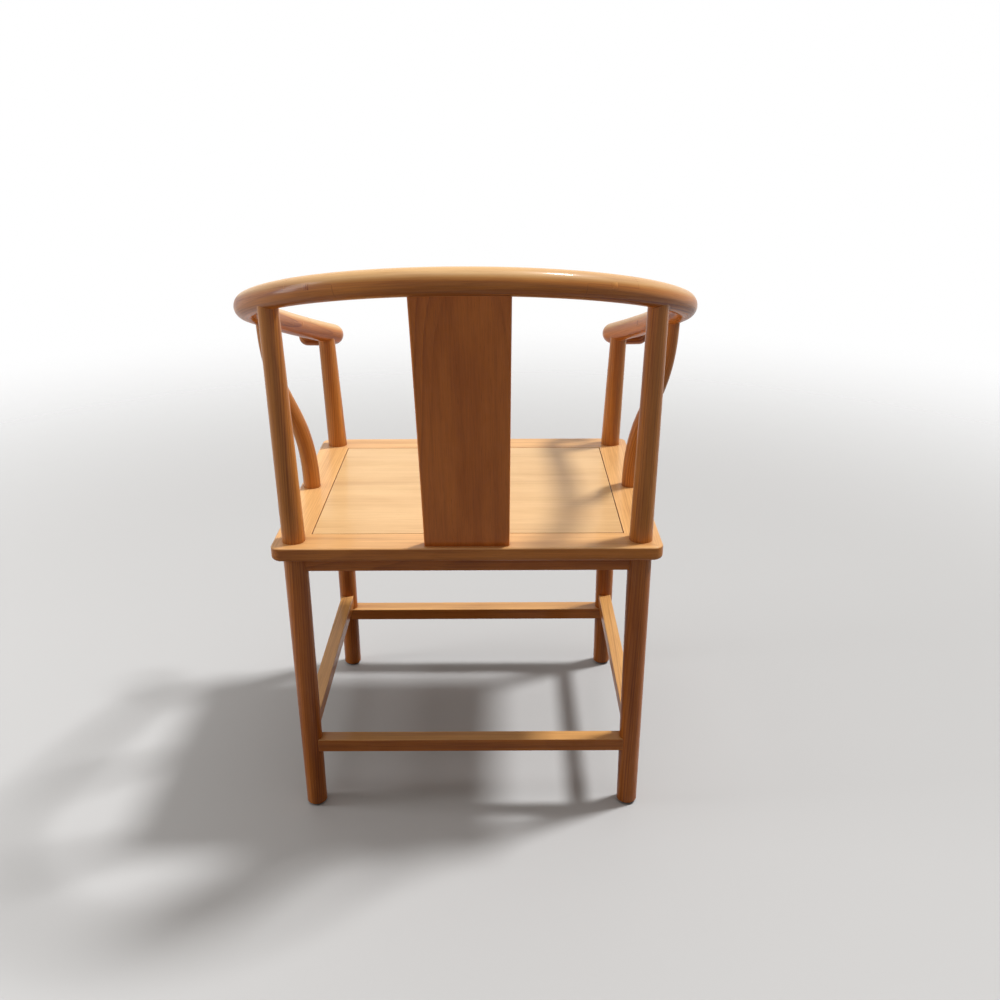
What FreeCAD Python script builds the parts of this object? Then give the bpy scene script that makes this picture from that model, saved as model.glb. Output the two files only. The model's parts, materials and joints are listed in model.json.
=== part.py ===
import FreeCAD, Part
import math
import os
import Sketcher
from types import SimpleNamespace

# A round-back armchair of solid wood. The floor is z = 0, the sitter looks along -Y and the
# sitter's left is +X. The left half is worked out piece by piece and the right half mirrors it.

DIMENSIONS = (
    ("seat_height", 430, "floor to the top of the seat"),
    ("seat_width", 520, "outside of the seat frame, left to right"),
    ("seat_depth", 446, "outside of the seat frame, front to back"),
    ("seat_back_y", 197.3, "back edge of the seat frame"),
    ("frame_thick", 20, "thickness of the seat frame"),
    ("frame_member", 48, "width of each member of the seat frame"),
    ("frame_corner", 14, "plan rounding of the seat corners"),
    ("frame_top_round", 2.5, "rounding of the seat's upper edge"),
    ("frame_low_round", 6, "rounding of the seat's lower edge"),
    ("panel_gap", 1, "open line between the panel and the frame"),
    ("line_round", 0.8, "eased edges on both sides of that line"),
    ("panel_thick", 14, "thickness of the seat panel"),
    ("tongue_thick", 6, "thickness of the tongue round the panel"),
    ("tongue_long", 8, "how far the panel's tongue stands out"),
    ("groove_deep", 9, "depth of the groove in the frame"),
    ("tongue_cover", 5, "wood left above the groove"),
    ("batten_half", 15, "half the width of a panel batten"),
    ("batten_tall", 14, "height of a batten below the panel"),
    ("batten_x", 112, "batten middle from the middle of the seat"),
    ("dovetail_neck", 9, "half width of the dovetail at the panel's underside"),
    ("dovetail_top", 12, "half width of the dovetail at its top"),
    ("dovetail_tall", 5, "height of the dovetail"),
    ("leg_inset", 28, "leg middle from the seat's outer edges"),
    ("leg_foot_radius", 14.6, "leg radius at the floor"),
    ("leg_top_radius", 16.2, "leg radius under the seat"),
    ("foot_round", 1.5, "eased edge at the foot"),
    ("post_base_radius", 15.4, "post radius where it passes through the seat"),
    ("post_top_radius", 13, "post radius under the rail"),
    ("post_top_x", 238, "rear post middle under the rail, from the middle"),
    ("post_tenon_radius", 7.5, "round tenon at the top of a post"),
    ("tenon_rise", 9, "how far a tenon goes past the middle of the rail"),
    ("tenon_root", 26, "how far a tenon starts below the middle of the rail"),
    ("glide_radius", 11, "radius of a foot glide"),
    ("glide_thick", 3, "thickness of a foot glide"),
    ("nail_radius", 1.5, "radius of the glide's nail"),
    ("nail_long", 14, "length of the glide's nail"),
    ("rail_radius", 16, "radius of the round rail"),
    ("rail_tilt", 18.64, "slope of the rail's plane, rising to the back"),
    ("rail_back_z", 791, "middle of the rail at the back, above the floor"),
    ("crest_radius", 306, "bend of the rail behind the sitter"),
    ("crest_sweep", 63, "turn of that bend, from the middle"),
    ("shoulder_radius", 160, "tighter bend at the shoulder"),
    ("shoulder_sweep", 31.5, "turn of the shoulder bend"),
    ("arm_radius", 1330, "slow bend along the arm"),
    ("arm_sweep", 12.9, "turn of the arm bend"),
    ("hook_radius", 30, "outward curl of the hand end"),
    ("hook_sweep", 118, "turn of the curl"),
    ("hook_tip", 27, "straight run at the tip of the hand end"),
    ("hook_round", 14.5, "rounding of the tip"),
    ("crest_joint", 33, "heading of the lapped joint behind the rear post"),
    ("arm_joint", 101.3, "heading of the lapped joint on the arm"),
    ("lap_half", 35, "half the length of a lapped joint"),
    ("pin_half_wide", 4, "half the width of a wedge pin at its wide end"),
    ("pin_half_thin", 3, "half the width of a wedge pin at its thin end"),
    ("splat_top_width", 116.6, "width of the back splat at the rail"),
    ("splat_foot_width", 112.6, "width of the back splat at the seat"),
    ("splat_thick", 14, "thickness of the back splat"),
    ("splat_foot_y", 183, "middle of the splat at the seat"),
    ("splat_hollow", 4, "depth of the splat's forward bow"),
    ("splat_round", 3, "rounding of the splat's long edges"),
    ("splat_tongue", 7, "thickness of the splat's tongues"),
    ("splat_tongue_width", 90, "width of the splat's tongues"),
    ("splat_tongue_deep", 13, "how far the lower tongue goes into the seat"),
    ("splat_tongue_rise", 7, "how far the upper tongue goes past the rail's middle"),
    ("brace_foot_x", 242, "side brace on the seat, from the middle"),
    ("brace_foot_y", -28, "side brace on the seat, front to back"),
    ("brace_top_y", 2, "side brace under the rail, front to back"),
    ("brace_foot_radius", 12.8, "brace radius at the seat"),
    ("brace_top_radius", 10, "brace radius under the rail"),
    ("brace_tenon_foot", 7, "radius of the brace's lower tenon"),
    ("brace_tenon_top", 5.5, "radius of the brace's upper tenon"),
    ("brace_tenon_deep", 14, "depth of the brace's lower tenon"),
    ("apron_thick", 16, "thickness of an apron"),
    ("apron_tall", 22.5, "height of an apron"),
    ("apron_tenon_stop", 5, "apron tenons end this far short of the leg's middle"),
    ("back_low", 95.5, "underside of the back stretcher"),
    ("footrest_low", 97.3, "underside of the front stretcher"),
    ("side_low", 125, "underside of the side stretchers"),
    ("stretcher_tall", 20, "height of every stretcher"),
    ("stretcher_wide", 21, "width of the back and side stretchers"),
    ("footrest_wide", 28, "width of the front stretcher"),
    ("stretcher_tenon_past", 4, "stretcher tenons go this far past the leg's middle"),
    ("edge_round", 1.2, "eased edges of stretchers and aprons"),
    ("tenon_thick", 7, "thickness of a flat tenon"),
    ("tenon_shoulder", 3.5, "step above and below a flat tenon"),
    ("mitre_tongue_half", 8, "half the width of a mitre tongue, across the mitre"),
    ("mitre_tongue_from", 12, "mitre tongue starts this far from the inner corner"),
    ("mitre_tongue_to", 53, "mitre tongue ends this far from the inner corner"),
)

doc = FreeCAD.newDocument("round_back_chair")
sheet = doc.addObject("Spreadsheet::Sheet", "sizes")


class Size:
    """A number together with the spreadsheet formula it was worked out from."""

    def __init__(self, value, formula=None):
        self.value = float(value)
        self.formula = formula or "%.10g" % value

    def joined(self, sign, other, value):
        return Size(value, "(%s %s %s)" % (self.formula, sign, other.formula))

    def __add__(self, other):
        other = size(other)
        return self.joined("+", other, self.value + other.value)

    def __sub__(self, other):
        other = size(other)
        return self.joined("-", other, self.value - other.value)

    def __mul__(self, other):
        other = size(other)
        return self.joined("*", other, self.value * other.value)

    def __truediv__(self, other):
        other = size(other)
        return self.joined("/", other, self.value / other.value)

    def __neg__(self):
        return self * -1

    def __radd__(self, other):
        return size(other) + self

    def __rsub__(self, other):
        return size(other) - self

    def __rmul__(self, other):
        return size(other) * self


def size(number):
    return number if isinstance(number, Size) else Size(number)


def sine(angle):
    return Size(math.sin(math.radians(angle.value)), "sin(%s)" % angle.formula)


def cosine(angle):
    return Size(math.cos(math.radians(angle.value)), "cos(%s)" % angle.formula)


def arcsine(ratio):
    return Size(math.degrees(math.asin(ratio.value)), "(asin(%s) / (1 deg))" % ratio.formula)


def arctangent(ratio):
    return Size(math.degrees(math.atan(ratio.value)), "(atan(%s) / (1 deg))" % ratio.formula)


def root(number):
    return Size(math.sqrt(number.value), "sqrt(%s)" % number.formula)


def fill_sheet():
    """Write one row for each driving dimension and return them as named sizes."""
    named = {}
    for row, (alias, value, meaning) in enumerate(DIMENSIONS, start=1):
        sheet.set("A%d" % row, meaning)
        sheet.set("B%d" % row, str(value))
        sheet.setAlias("B%d" % row, alias)
        named[alias] = Size(value, "sizes." + alias)
    doc.recompute()
    return SimpleNamespace(**named)


dim = fill_sheet()
nodes = []


def vector(x, y, z):
    return FreeCAD.Vector(size(x).value, size(y).value, size(z).value)


def bind(thing, place, number):
    thing.setExpression(place, size(number).formula)


def put(thing, at, turn=FreeCAD.Rotation()):
    """Place a thing and bind its position to the sheet."""
    thing.Placement = FreeCAD.Placement(vector(*at), turn)
    for axis, number in zip("xyz", at):
        bind(thing, "Placement.Base." + axis, number)
    return thing


def primitive(kind, name, at, turn=FreeCAD.Rotation(), **sizes):
    thing = doc.addObject("Part::" + kind, name)
    for place, number in sizes.items():
        bind(thing, place, number)
    return put(thing, at, turn)


def joined(name, *things):
    fusion = doc.addObject("Part::MultiFuse", name)
    fusion.Shapes = list(things)
    fusion.Refine = True
    return fusion


def cut(name, base, *tools):
    difference = doc.addObject("Part::Cut", name)
    difference.Base = base
    difference.Tool = tools[0] if len(tools) == 1 else joined(name + "_tools", *tools)
    difference.Refine = True
    return difference


def common(name, one, other):
    shared = doc.addObject("Part::Common", name)
    shared.Base = one
    shared.Tool = other
    return shared


def mirrored(name, source):
    copy = doc.addObject("Part::Mirroring", name)
    copy.Source = source
    copy.Base = FreeCAD.Vector(0, 0, 0)
    copy.Normal = FreeCAD.Vector(1, 0, 0)
    return copy


def node(label, thing):
    """Mark a finished piece; its label names its file."""
    thing.Label = label
    nodes.append(thing)
    return thing


def both_sides(label, left):
    node(label + "_left", left)
    node(label + "_right", mirrored(label + "_mirror", left))


def body_at(name, at, turn=FreeCAD.Rotation()):
    return put(doc.addObject("PartDesign::Body", name), at, turn)


def origin_plane(body, role):
    return next(item for item in body.Origin.OriginFeatures if item.Role == role)


def sketch_on(body, name, role, offset=(0, 0, 0)):
    """A sketch on one of the body's own origin planes, shifted by `offset` in the sketch's axes."""
    sketch = body.newObject("Sketcher::SketchObject", name)
    sketch.AttachmentSupport = [(origin_plane(body, role), "")]
    sketch.MapMode = "FlatFace"
    sketch.AttachmentOffset = FreeCAD.Placement(vector(*offset), FreeCAD.Rotation())
    for axis, number in zip("xyz", offset):
        bind(sketch, "AttachmentOffset.Base." + axis, number)
    return sketch


def hold(sketch, kind, *where, number):
    """Add a dimension to a sketch and bind it to the sheet."""
    value = math.radians(number.value) if kind == "Angle" else number.value
    index = sketch.addConstraint(Sketcher.Constraint(kind, *where, value))
    label = "%s%d" % (kind.lower(), index)
    sketch.renameConstraint(index, label)
    bind(sketch, "Constraints." + label, number)


def hold_point(sketch, geometry, end, x, y):
    hold(sketch, "DistanceX", -1, 1, geometry, end, number=size(x))
    hold(sketch, "DistanceY", -1, 1, geometry, end, number=size(y))


def outline(sketch, corners):
    """Draw a closed outline of straight lines with every corner held."""
    points = [vector(x, y, 0) for x, y in corners]
    last = len(points) - 1
    for start, finish in zip(points, points[1:] + points[:1]):
        sketch.addGeometry(Part.LineSegment(start, finish), False)
    for line in range(last + 1):
        following = 0 if line == last else line + 1
        sketch.addConstraint(Sketcher.Constraint("Coincident", line, 2, following, 1))
    for line, (x, y) in enumerate(corners):
        hold_point(sketch, line, 1, x, y)
    return sketch


def rectangle(sketch, half_x, half_y):
    return outline(sketch, [(-half_x, -half_y), (half_x, -half_y), (half_x, half_y), (-half_x, half_y)])


def circle(sketch, radius):
    sketch.addGeometry(Part.Circle(vector(0, 0, 0), vector(0, 0, 1), radius.value), False)
    sketch.addConstraint(Sketcher.Constraint("Coincident", 0, 3, -1, 1))
    hold(sketch, "Radius", 0, number=radius)
    return sketch


def pad(body, name, sketch, length, sides="One side"):
    feature = body.newObject("PartDesign::Pad", name)
    feature.Profile = sketch
    feature.SideType = sides
    bind(feature, "Length", length)
    doc.recompute()
    return feature


def pocket(body, name, sketch, upward):
    """Cut a sketch through everything on one side of its plane."""
    feature = body.newObject("PartDesign::Pocket", name)
    feature.Profile = sketch
    feature.Type = "ThroughAll"
    feature.Reversed = upward
    doc.recompute()
    return feature


def revolution(body, name, sketch):
    feature = body.newObject("PartDesign::Revolution", name)
    feature.Profile = sketch
    feature.ReferenceAxis = (sketch, ["V_Axis"])
    feature.Angle = 360
    doc.recompute()
    return feature


def rounded(body, name, feature, radius, wanted):
    """Round the edges of the body that `wanted` picks."""
    edges = enumerate(feature.Shape.Edges, start=1)
    picked = ["Edge%d" % number for number, edge in edges if wanted(edge)]
    fillet = body.newObject("PartDesign::Fillet", name)
    fillet.Base = (feature, picked)
    bind(fillet, "Radius", radius)
    doc.recompute()
    return fillet


def runs_along(axis):
    """Picks straight edges that run along one axis of the body."""
    def wanted(edge):
        start = edge.Vertexes[0].Point
        finish = edge.Vertexes[-1].Point
        return abs(abs((finish - start).dot(axis)) - edge.Length) < 1e-6
    return wanted


def lies_at(height):
    """Picks edges that lie flat at one height of the body."""
    def wanted(edge):
        box = edge.BoundBox
        return abs(box.ZMin - height.value) < 1e-6 and abs(box.ZMax - height.value) < 1e-6
    return wanted


AXIS_X = FreeCAD.Vector(1, 0, 0)
AXIS_Y = FreeCAD.Vector(0, 1, 0)
AXIS_Z = FreeCAD.Vector(0, 0, 1)

# Places that several pieces share.
frame_low = dim.seat_height - dim.frame_thick
leg_x = dim.seat_width / 2 - dim.leg_inset
rear_y = dim.seat_back_y - dim.leg_inset
front_y = dim.seat_back_y - dim.seat_depth + dim.leg_inset
seat_mid_y = dim.seat_back_y - dim.seat_depth / 2

# The rail lies in one sloping plane. A heading of 0 looks straight back and grows towards the arm.
# The bend behind the sitter passes over the rear posts, which sets how far back the rail stands.
tilt_cos = cosine(dim.rail_tilt)
tilt_sin = sine(dim.rail_tilt)
post_heading = arcsine(dim.post_top_x / dim.crest_radius)
rail_origin_y = rear_y - dim.crest_radius * cosine(post_heading) * tilt_cos
rail_origin_z = dim.rail_back_z - dim.crest_radius * tilt_sin
rail_back_y = rail_origin_y + dim.crest_radius * tilt_cos
rail_turn = FreeCAD.Rotation(AXIS_X, dim.rail_tilt.value)

crest_end = dim.crest_sweep
shoulder_end = crest_end + dim.shoulder_sweep
arm_end = shoulder_end + dim.arm_sweep


def outward(centre, distance, heading):
    """The point of the rail's plane at a distance from a centre, along a heading."""
    return (centre[0] + distance * sine(heading), centre[1] + distance * cosine(heading))


crest_centre = (size(0), size(0))
shoulder_centre = outward(crest_centre, dim.crest_radius - dim.shoulder_radius, crest_end)
arm_centre = outward(shoulder_centre, dim.shoulder_radius - dim.arm_radius, shoulder_end)
hook_centre = outward(arm_centre, dim.arm_radius + dim.hook_radius, arm_end)


def in_room(x, along):
    """A point of the rail's plane as room coordinates."""
    return (x, rail_origin_y + along * tilt_cos, rail_origin_z + along * tilt_sin)


def arm_at(y):
    """The middle of the arm bend at one distance front to back, as room coordinates."""
    along = (y - rail_origin_y) / tilt_cos
    reach = along - arm_centre[1]
    return in_room(arm_centre[0] + root(dim.arm_radius * dim.arm_radius - reach * reach), along)


def bend(centre, radius, start, finish):
    """An arc of the rail's path that turns towards the arm."""
    middle = vector(centre[0], centre[1], 0)
    whole = Part.Circle(middle, AXIS_Z, radius.value)
    arc = Part.ArcOfCircle(whole, math.radians(90 - finish.value), math.radians(90 - start.value))
    return SimpleNamespace(curve=arc, head=2, tail=1, radius=radius, turn=finish - start)


def curl(centre, radius, start, turn):
    """An arc of the rail's path that turns back outward."""
    middle = vector(centre[0], centre[1], 0)
    whole = Part.Circle(middle, AXIS_Z, radius.value)
    first = math.radians(270 - start.value)
    arc = Part.ArcOfCircle(whole, first, first + math.radians(turn.value))
    return SimpleNamespace(curve=arc, head=1, tail=2, radius=radius, turn=turn)


def rail_path(body, name, centre, start, pieces):
    """Draw a chain of smoothly joined arcs; the first is held by its centre and its start."""
    path = sketch_on(body, name, "XY_Plane")
    for piece in pieces:
        path.addGeometry(piece.curve, False)
    first = pieces[0]
    hold_point(path, 0, 3, *centre)
    begin = outward(centre, first.radius, start)
    if abs(begin[0].value - centre[0].value) < abs(begin[1].value - centre[1].value):
        hold(path, "DistanceX", -1, 1, 0, first.head, number=begin[0])
    else:
        hold(path, "DistanceY", -1, 1, 0, first.head, number=begin[1])
    for index, piece in enumerate(pieces):
        hold(path, "Radius", index, number=piece.radius)
        hold(path, "Angle", index, number=piece.turn)
        if index:
            previous = pieces[index - 1]
            path.addConstraint(Sketcher.Constraint("Tangent", index - 1, previous.tail, index, piece.head))
    return path


def add_tip(path, index, piece, length):
    """Carry the path on in a straight line from the end of its last arc."""
    end = piece.curve.EndPoint
    along = piece.curve.tangent(piece.curve.LastParameter)[0]
    path.addGeometry(Part.LineSegment(end, end + along * length.value), False)
    path.addConstraint(Sketcher.Constraint("Tangent", index - 1, piece.tail, index, 1))
    hold(path, "Distance", index, number=length)


def swept_rail(body, name, path):
    """Sweep the round section of the rail along a path."""
    doc.recompute()
    section = body.newObject("Sketcher::SketchObject", name + "_section")
    section.AttachmentSupport = [(path, "Edge1")]
    section.MapMode = "NormalToEdge"
    section.MapPathParameter = 0
    circle(section, dim.rail_radius)
    doc.recompute()
    sweep = body.newObject("PartDesign::AdditivePipe", name + "_sweep")
    sweep.Profile = section
    sweep.Spine = (path, ["Edge%d" % (number + 1) for number in range(len(path.Shape.Edges))])
    doc.recompute()
    return sweep


def half_lap(body, name, centre, radius, heading, forward, upward):
    """Cut away the upper or the lower half of the rail from a heading to the piece's end."""
    reach = dim.rail_radius * 1.5
    run = dim.lap_half * 2.4
    inner = outward(centre, radius - reach, heading)
    outer = outward(centre, radius + reach, heading)
    along = (cosine(heading) * run, sine(heading) * run * -1)
    if not forward:
        along = (-along[0], -along[1])
    far_outer = (outer[0] + along[0], outer[1] + along[1])
    far_inner = (inner[0] + along[0], inner[1] + along[1])
    sketch = outline(sketch_on(body, name + "_outline", "XY_Plane"), [inner, outer, far_outer, far_inner])
    pocket(body, name, sketch, upward)


def rail_body(name):
    return body_at(name, (0, rail_origin_y, rail_origin_z), rail_turn)


def lap_turn(radius):
    """Half the length of a lapped joint as a turn of the bend it lies on."""
    return dim.lap_half / radius * (180 / math.pi)


crest_lap = lap_turn(dim.crest_radius)
arm_lap = lap_turn(dim.arm_radius)


def build_crest():
    """The middle of the rail, with its upper halves running out over the shoulder pieces."""
    body = rail_body("crest_raw")
    reach = dim.crest_joint + crest_lap
    arc = bend(crest_centre, dim.crest_radius, -reach, reach)
    swept_rail(body, "crest", rail_path(body, "crest_path", crest_centre, -reach, [arc]))
    lap_start = dim.crest_joint - crest_lap
    half_lap(body, "crest_lap_left", crest_centre, dim.crest_radius, lap_start, True, False)
    half_lap(body, "crest_lap_right", crest_centre, dim.crest_radius, -lap_start, False, False)
    return body


def build_shoulder():
    """The left shoulder of the rail, from the crest to the arm."""
    body = rail_body("shoulder_raw")
    start = dim.crest_joint - crest_lap
    finish = dim.arm_joint + arm_lap
    arcs = [
        bend(crest_centre, dim.crest_radius, start, crest_end),
        bend(shoulder_centre, dim.shoulder_radius, crest_end, shoulder_end),
        bend(arm_centre, dim.arm_radius, shoulder_end, finish),
    ]
    swept_rail(body, "shoulder", rail_path(body, "shoulder_path", crest_centre, start, arcs))
    lap_end = dim.crest_joint + crest_lap
    half_lap(body, "shoulder_lap_back", crest_centre, dim.crest_radius, lap_end, False, True)
    lap_start = dim.arm_joint - arm_lap
    half_lap(body, "shoulder_lap_front", arm_centre, dim.arm_radius, lap_start, True, False)
    return body


def build_arm():
    """The left arm of the rail with its outward-curled, rounded hand end."""
    body = rail_body("arm_raw")
    start = dim.arm_joint - arm_lap
    arcs = [
        bend(arm_centre, dim.arm_radius, start, arm_end),
        curl(hook_centre, dim.hook_radius, arm_end, dim.hook_sweep),
    ]
    path = rail_path(body, "arm_path", arm_centre, start, arcs)
    add_tip(path, 2, arcs[1], dim.hook_tip)
    sweep = swept_rail(body, "arm", path)
    tip = max(path.Shape.Vertexes, key=lambda corner: corner.X - corner.Y).Point

    def at_tip(edge):
        return edge.Closed and (edge.BoundBox.Center - tip).Length < 1

    rounded(body, "arm_tip", sweep, dim.hook_round, at_tip)
    lap_end = dim.arm_joint + arm_lap
    half_lap(body, "arm_lap", arm_centre, dim.arm_radius, lap_end, False, True)
    return body


def wedge_pin(name, centre, radius, heading):
    """A square pin, thinner towards the sitter, driven through the middle of a lapped joint."""
    pin = doc.addObject("Part::Wedge", name)
    half_long = dim.rail_radius * 1.2
    wide = dim.pin_half_wide
    thin = dim.pin_half_thin
    sides = {
        "Xmin": -thin, "Xmax": thin, "Zmin": -thin, "Zmax": thin, "Ymin": -half_long,
        "X2min": -wide, "X2max": wide, "Z2min": -wide, "Z2max": wide, "Ymax": half_long,
    }
    for place, number in sides.items():
        bind(pin, place, number)
    at = in_room(*outward(centre, radius, heading))
    return put(pin, at, rail_turn.multiply(FreeCAD.Rotation(AXIS_Z, -heading.value)))


def build_leg(name, y, top):
    """A turned leg that stands under the seat, passes through it and carries on as a post to the rail."""
    body = body_at(name, (leg_x, y, 0))
    turned = outline(sketch_on(body, name + "_outline", "XZ_Plane"), [
        (size(0), dim.glide_thick),
        (dim.leg_foot_radius - dim.foot_round, dim.glide_thick),
        (dim.leg_foot_radius, dim.glide_thick + dim.foot_round),
        (dim.leg_top_radius, frame_low),
        (dim.post_base_radius, frame_low),
        (dim.post_base_radius, dim.seat_height),
        (size(0), dim.seat_height),
    ])
    revolution(body, name + "_turned", turned)
    lean = arctangent((top[0] - leg_x) / (top[2] - dim.seat_height))
    foot_at = (0, 0, dim.seat_height)
    head_at = (top[0] - leg_x, 0, top[2])
    foot = circle(sketch_on(body, name + "_post_foot", "XY_Plane", foot_at), dim.post_base_radius)
    head = circle(sketch_on(body, name + "_post_head", "XY_Plane", head_at), dim.post_top_radius)
    doc.recompute()
    post = body.newObject("PartDesign::AdditiveLoft", name + "_post")
    post.Profile = foot
    post.Sections = [(head, [""])]
    post.Ruled = True
    doc.recompute()
    root_at = (top[0] - dim.tenon_root * sine(lean), top[1], top[2] - dim.tenon_root * cosine(lean))
    tenon = primitive(
        "Cylinder", name + "_tenon", root_at, FreeCAD.Rotation(AXIS_Y, lean.value),
        Radius=dim.post_tenon_radius, Height=dim.tenon_root + dim.tenon_rise)
    return SimpleNamespace(body=body, tenon=tenon)


def build_glide(name, y):
    """A round pad nailed under a foot."""
    pad_disc = primitive(
        "Cylinder", name + "_pad", (leg_x, y, 0), Radius=dim.glide_radius, Height=dim.glide_thick)
    nail = primitive(
        "Cylinder", name + "_nail", (leg_x, y, 0), Radius=dim.nail_radius, Height=dim.nail_long)
    return joined(name, pad_disc, nail)


def build_bar(name, axis, at, length, wide, tall):
    """A straight bar with eased long edges, centred on `at`."""
    body = body_at(name, at)
    role = "YZ_Plane" if axis == AXIS_X else "XZ_Plane"
    section = rectangle(sketch_on(body, name + "_section", role), wide / 2, tall / 2)
    bar = pad(body, name + "_bar", section, length, "Symmetric")
    rounded(body, name + "_edges", bar, dim.edge_round, runs_along(axis))
    return body


def build_tenon(name, axis, at, length, tall):
    """One flat bar inside the length of a bar; its two ends are the tenons."""
    half = length / 2
    thin = dim.tenon_thick / 2
    high = tall / 2 - dim.tenon_shoulder
    reach = (half, thin, high) if axis == AXIS_X else (thin, half, high)
    corner = [place - half_size for place, half_size in zip(at, reach)]
    return primitive(
        "Box", name, corner, Length=reach[0] * 2, Width=reach[1] * 2, Height=reach[2] * 2)


def build_member(name, axis, at, wide, tall, past):
    """A stretcher or an apron that runs between two leg middles, before it is fitted to the legs."""
    span = leg_x * 2 if axis == AXIS_X else rear_y - front_y
    body = build_bar(name + "_raw", axis, at, span, wide, tall)
    tenon = build_tenon(name + "_tenon", axis, at, span + past * 2, tall)
    return SimpleNamespace(body=body, tenon=tenon)


def build_splat_strip(name, half_thick, below, above, width):
    """A bowed strip on the splat's curve, from below the seat's top to beyond the rail's middle."""
    rise = dim.rail_back_z - dim.seat_height
    lean = rail_back_y - dim.splat_foot_y
    chord = root(rise * rise + lean * lean)
    radius = chord * chord / (dim.splat_hollow * 8) + dim.splat_hollow / 2
    to_middle = radius - dim.splat_hollow
    centre_y = dim.splat_foot_y + lean / 2 + rise / chord * to_middle
    centre_z = dim.seat_height + rise / 2 - lean / chord * to_middle
    half_turn = arcsine(chord / 2 / radius)
    chord_lean = arctangent(lean / rise)
    degree = 180 / math.pi
    low = chord_lean * -1 + half_turn + below / radius * degree
    high = chord_lean * -1 - half_turn - above / radius * degree
    body = body_at(name, (0, 0, 0))
    sketch = sketch_on(body, name + "_outline", "YZ_Plane")
    for step in (half_thick, -half_thick):
        whole = Part.Circle(vector(centre_y, centre_z, 0), AXIS_Z, (radius + step).value)
        first = math.radians(180 + high.value)
        last = math.radians(180 + low.value)
        sketch.addGeometry(Part.ArcOfCircle(whole, first, last), False)
    for end in ("StartPoint", "EndPoint"):
        outer, inner = (getattr(sketch.Geometry[arc], end) for arc in (0, 1))
        sketch.addGeometry(Part.LineSegment(outer, inner), False)
    for arc, step in enumerate((half_thick, -half_thick)):
        hold_point(sketch, arc, 3, centre_y, centre_z)
        hold(sketch, "Radius", arc, number=radius + step)
        for end, angle in ((1, high), (2, low)):
            height = centre_z - (radius + step) * sine(angle)
            hold(sketch, "DistanceY", -1, 1, arc, end, number=height)
    for line, end in ((2, 1), (3, 2)):
        sketch.addConstraint(Sketcher.Constraint("Coincident", line, 1, 0, end))
        sketch.addConstraint(Sketcher.Constraint("Coincident", line, 2, 1, end))
    strip = pad(body, name + "_strip", sketch, width, "Symmetric")
    return body, strip


def narrow_splat(body, name, side):
    """Saw one long side of the splat, so that the splat narrows towards the seat."""
    spare = 40
    slope = (dim.splat_top_width - dim.splat_foot_width) / 2 / (dim.rail_back_z - dim.seat_height)
    foot = dim.splat_foot_width / 2 - slope * spare
    head = dim.splat_top_width / 2 + slope * spare
    low = dim.seat_height - spare
    high = dim.rail_back_z + spare
    beyond = dim.splat_top_width
    corners = [(foot, low), (beyond, low), (beyond, high), (head, high)]
    offcut = outline(sketch_on(body, name + "_offcut", "XZ_Plane"), [(x * side, z) for x, z in corners])
    return pocket(body, name, offcut, False)


def build_brace(name, top):
    """The left side brace: an S-curve that leaves the seat upright and meets the rail upright."""
    across = top[0] - dim.brace_foot_x
    back = top[1] - dim.brace_foot_y
    sway = root(across * across + back * back)
    rise = top[2] - dim.seat_height
    turn = arctangent(sway / rise) * 2
    radius = rise / (sine(turn) * 2)
    plan_turn = FreeCAD.Rotation(AXIS_Z, math.degrees(math.atan2(back.value, across.value)))
    body = body_at(name, (dim.brace_foot_x, dim.brace_foot_y, dim.seat_height), plan_turn)
    path = sketch_on(body, name + "_path", "XZ_Plane")
    sweep = math.radians(turn.value)
    low = Part.Circle(vector(radius, 0, 0), AXIS_Z, radius.value)
    high = Part.Circle(vector(sway - radius, rise, 0), AXIS_Z, radius.value)
    path.addGeometry(Part.ArcOfCircle(low, math.pi - sweep, math.pi), False)
    path.addGeometry(Part.ArcOfCircle(high, -sweep, 0), False)
    hold_point(path, 0, 3, radius, 0)
    hold(path, "DistanceY", -1, 1, 0, 2, number=size(0))
    path.addConstraint(Sketcher.Constraint("Tangent", 0, 1, 1, 1))
    for arc in (0, 1):
        hold(path, "Radius", arc, number=radius)
        hold(path, "Angle", arc, number=turn)
    foot = circle(sketch_on(body, name + "_foot", "XY_Plane"), dim.brace_foot_radius)
    head = circle(sketch_on(body, name + "_head", "XY_Plane", (sway, 0, rise)), dim.brace_top_radius)
    doc.recompute()
    feature = body.newObject("PartDesign::AdditivePipe", name + "_sweep")
    feature.Profile = foot
    feature.Spine = (path, ["Edge1", "Edge2"])
    feature.Transformation = "Multisection"
    feature.Sections = [(head, [""])]
    doc.recompute()
    lower = primitive(
        "Cylinder", name + "_lower_tenon",
        (dim.brace_foot_x, dim.brace_foot_y, dim.seat_height - dim.brace_tenon_deep),
        Radius=dim.brace_tenon_foot, Height=dim.brace_tenon_deep * 2)
    upper = primitive(
        "Cylinder", name + "_upper_tenon", (top[0], top[1], top[2] - dim.tenon_root),
        Radius=dim.brace_tenon_top, Height=dim.tenon_root + dim.tenon_rise)
    return SimpleNamespace(body=body, lower=lower, upper=upper)


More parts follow.
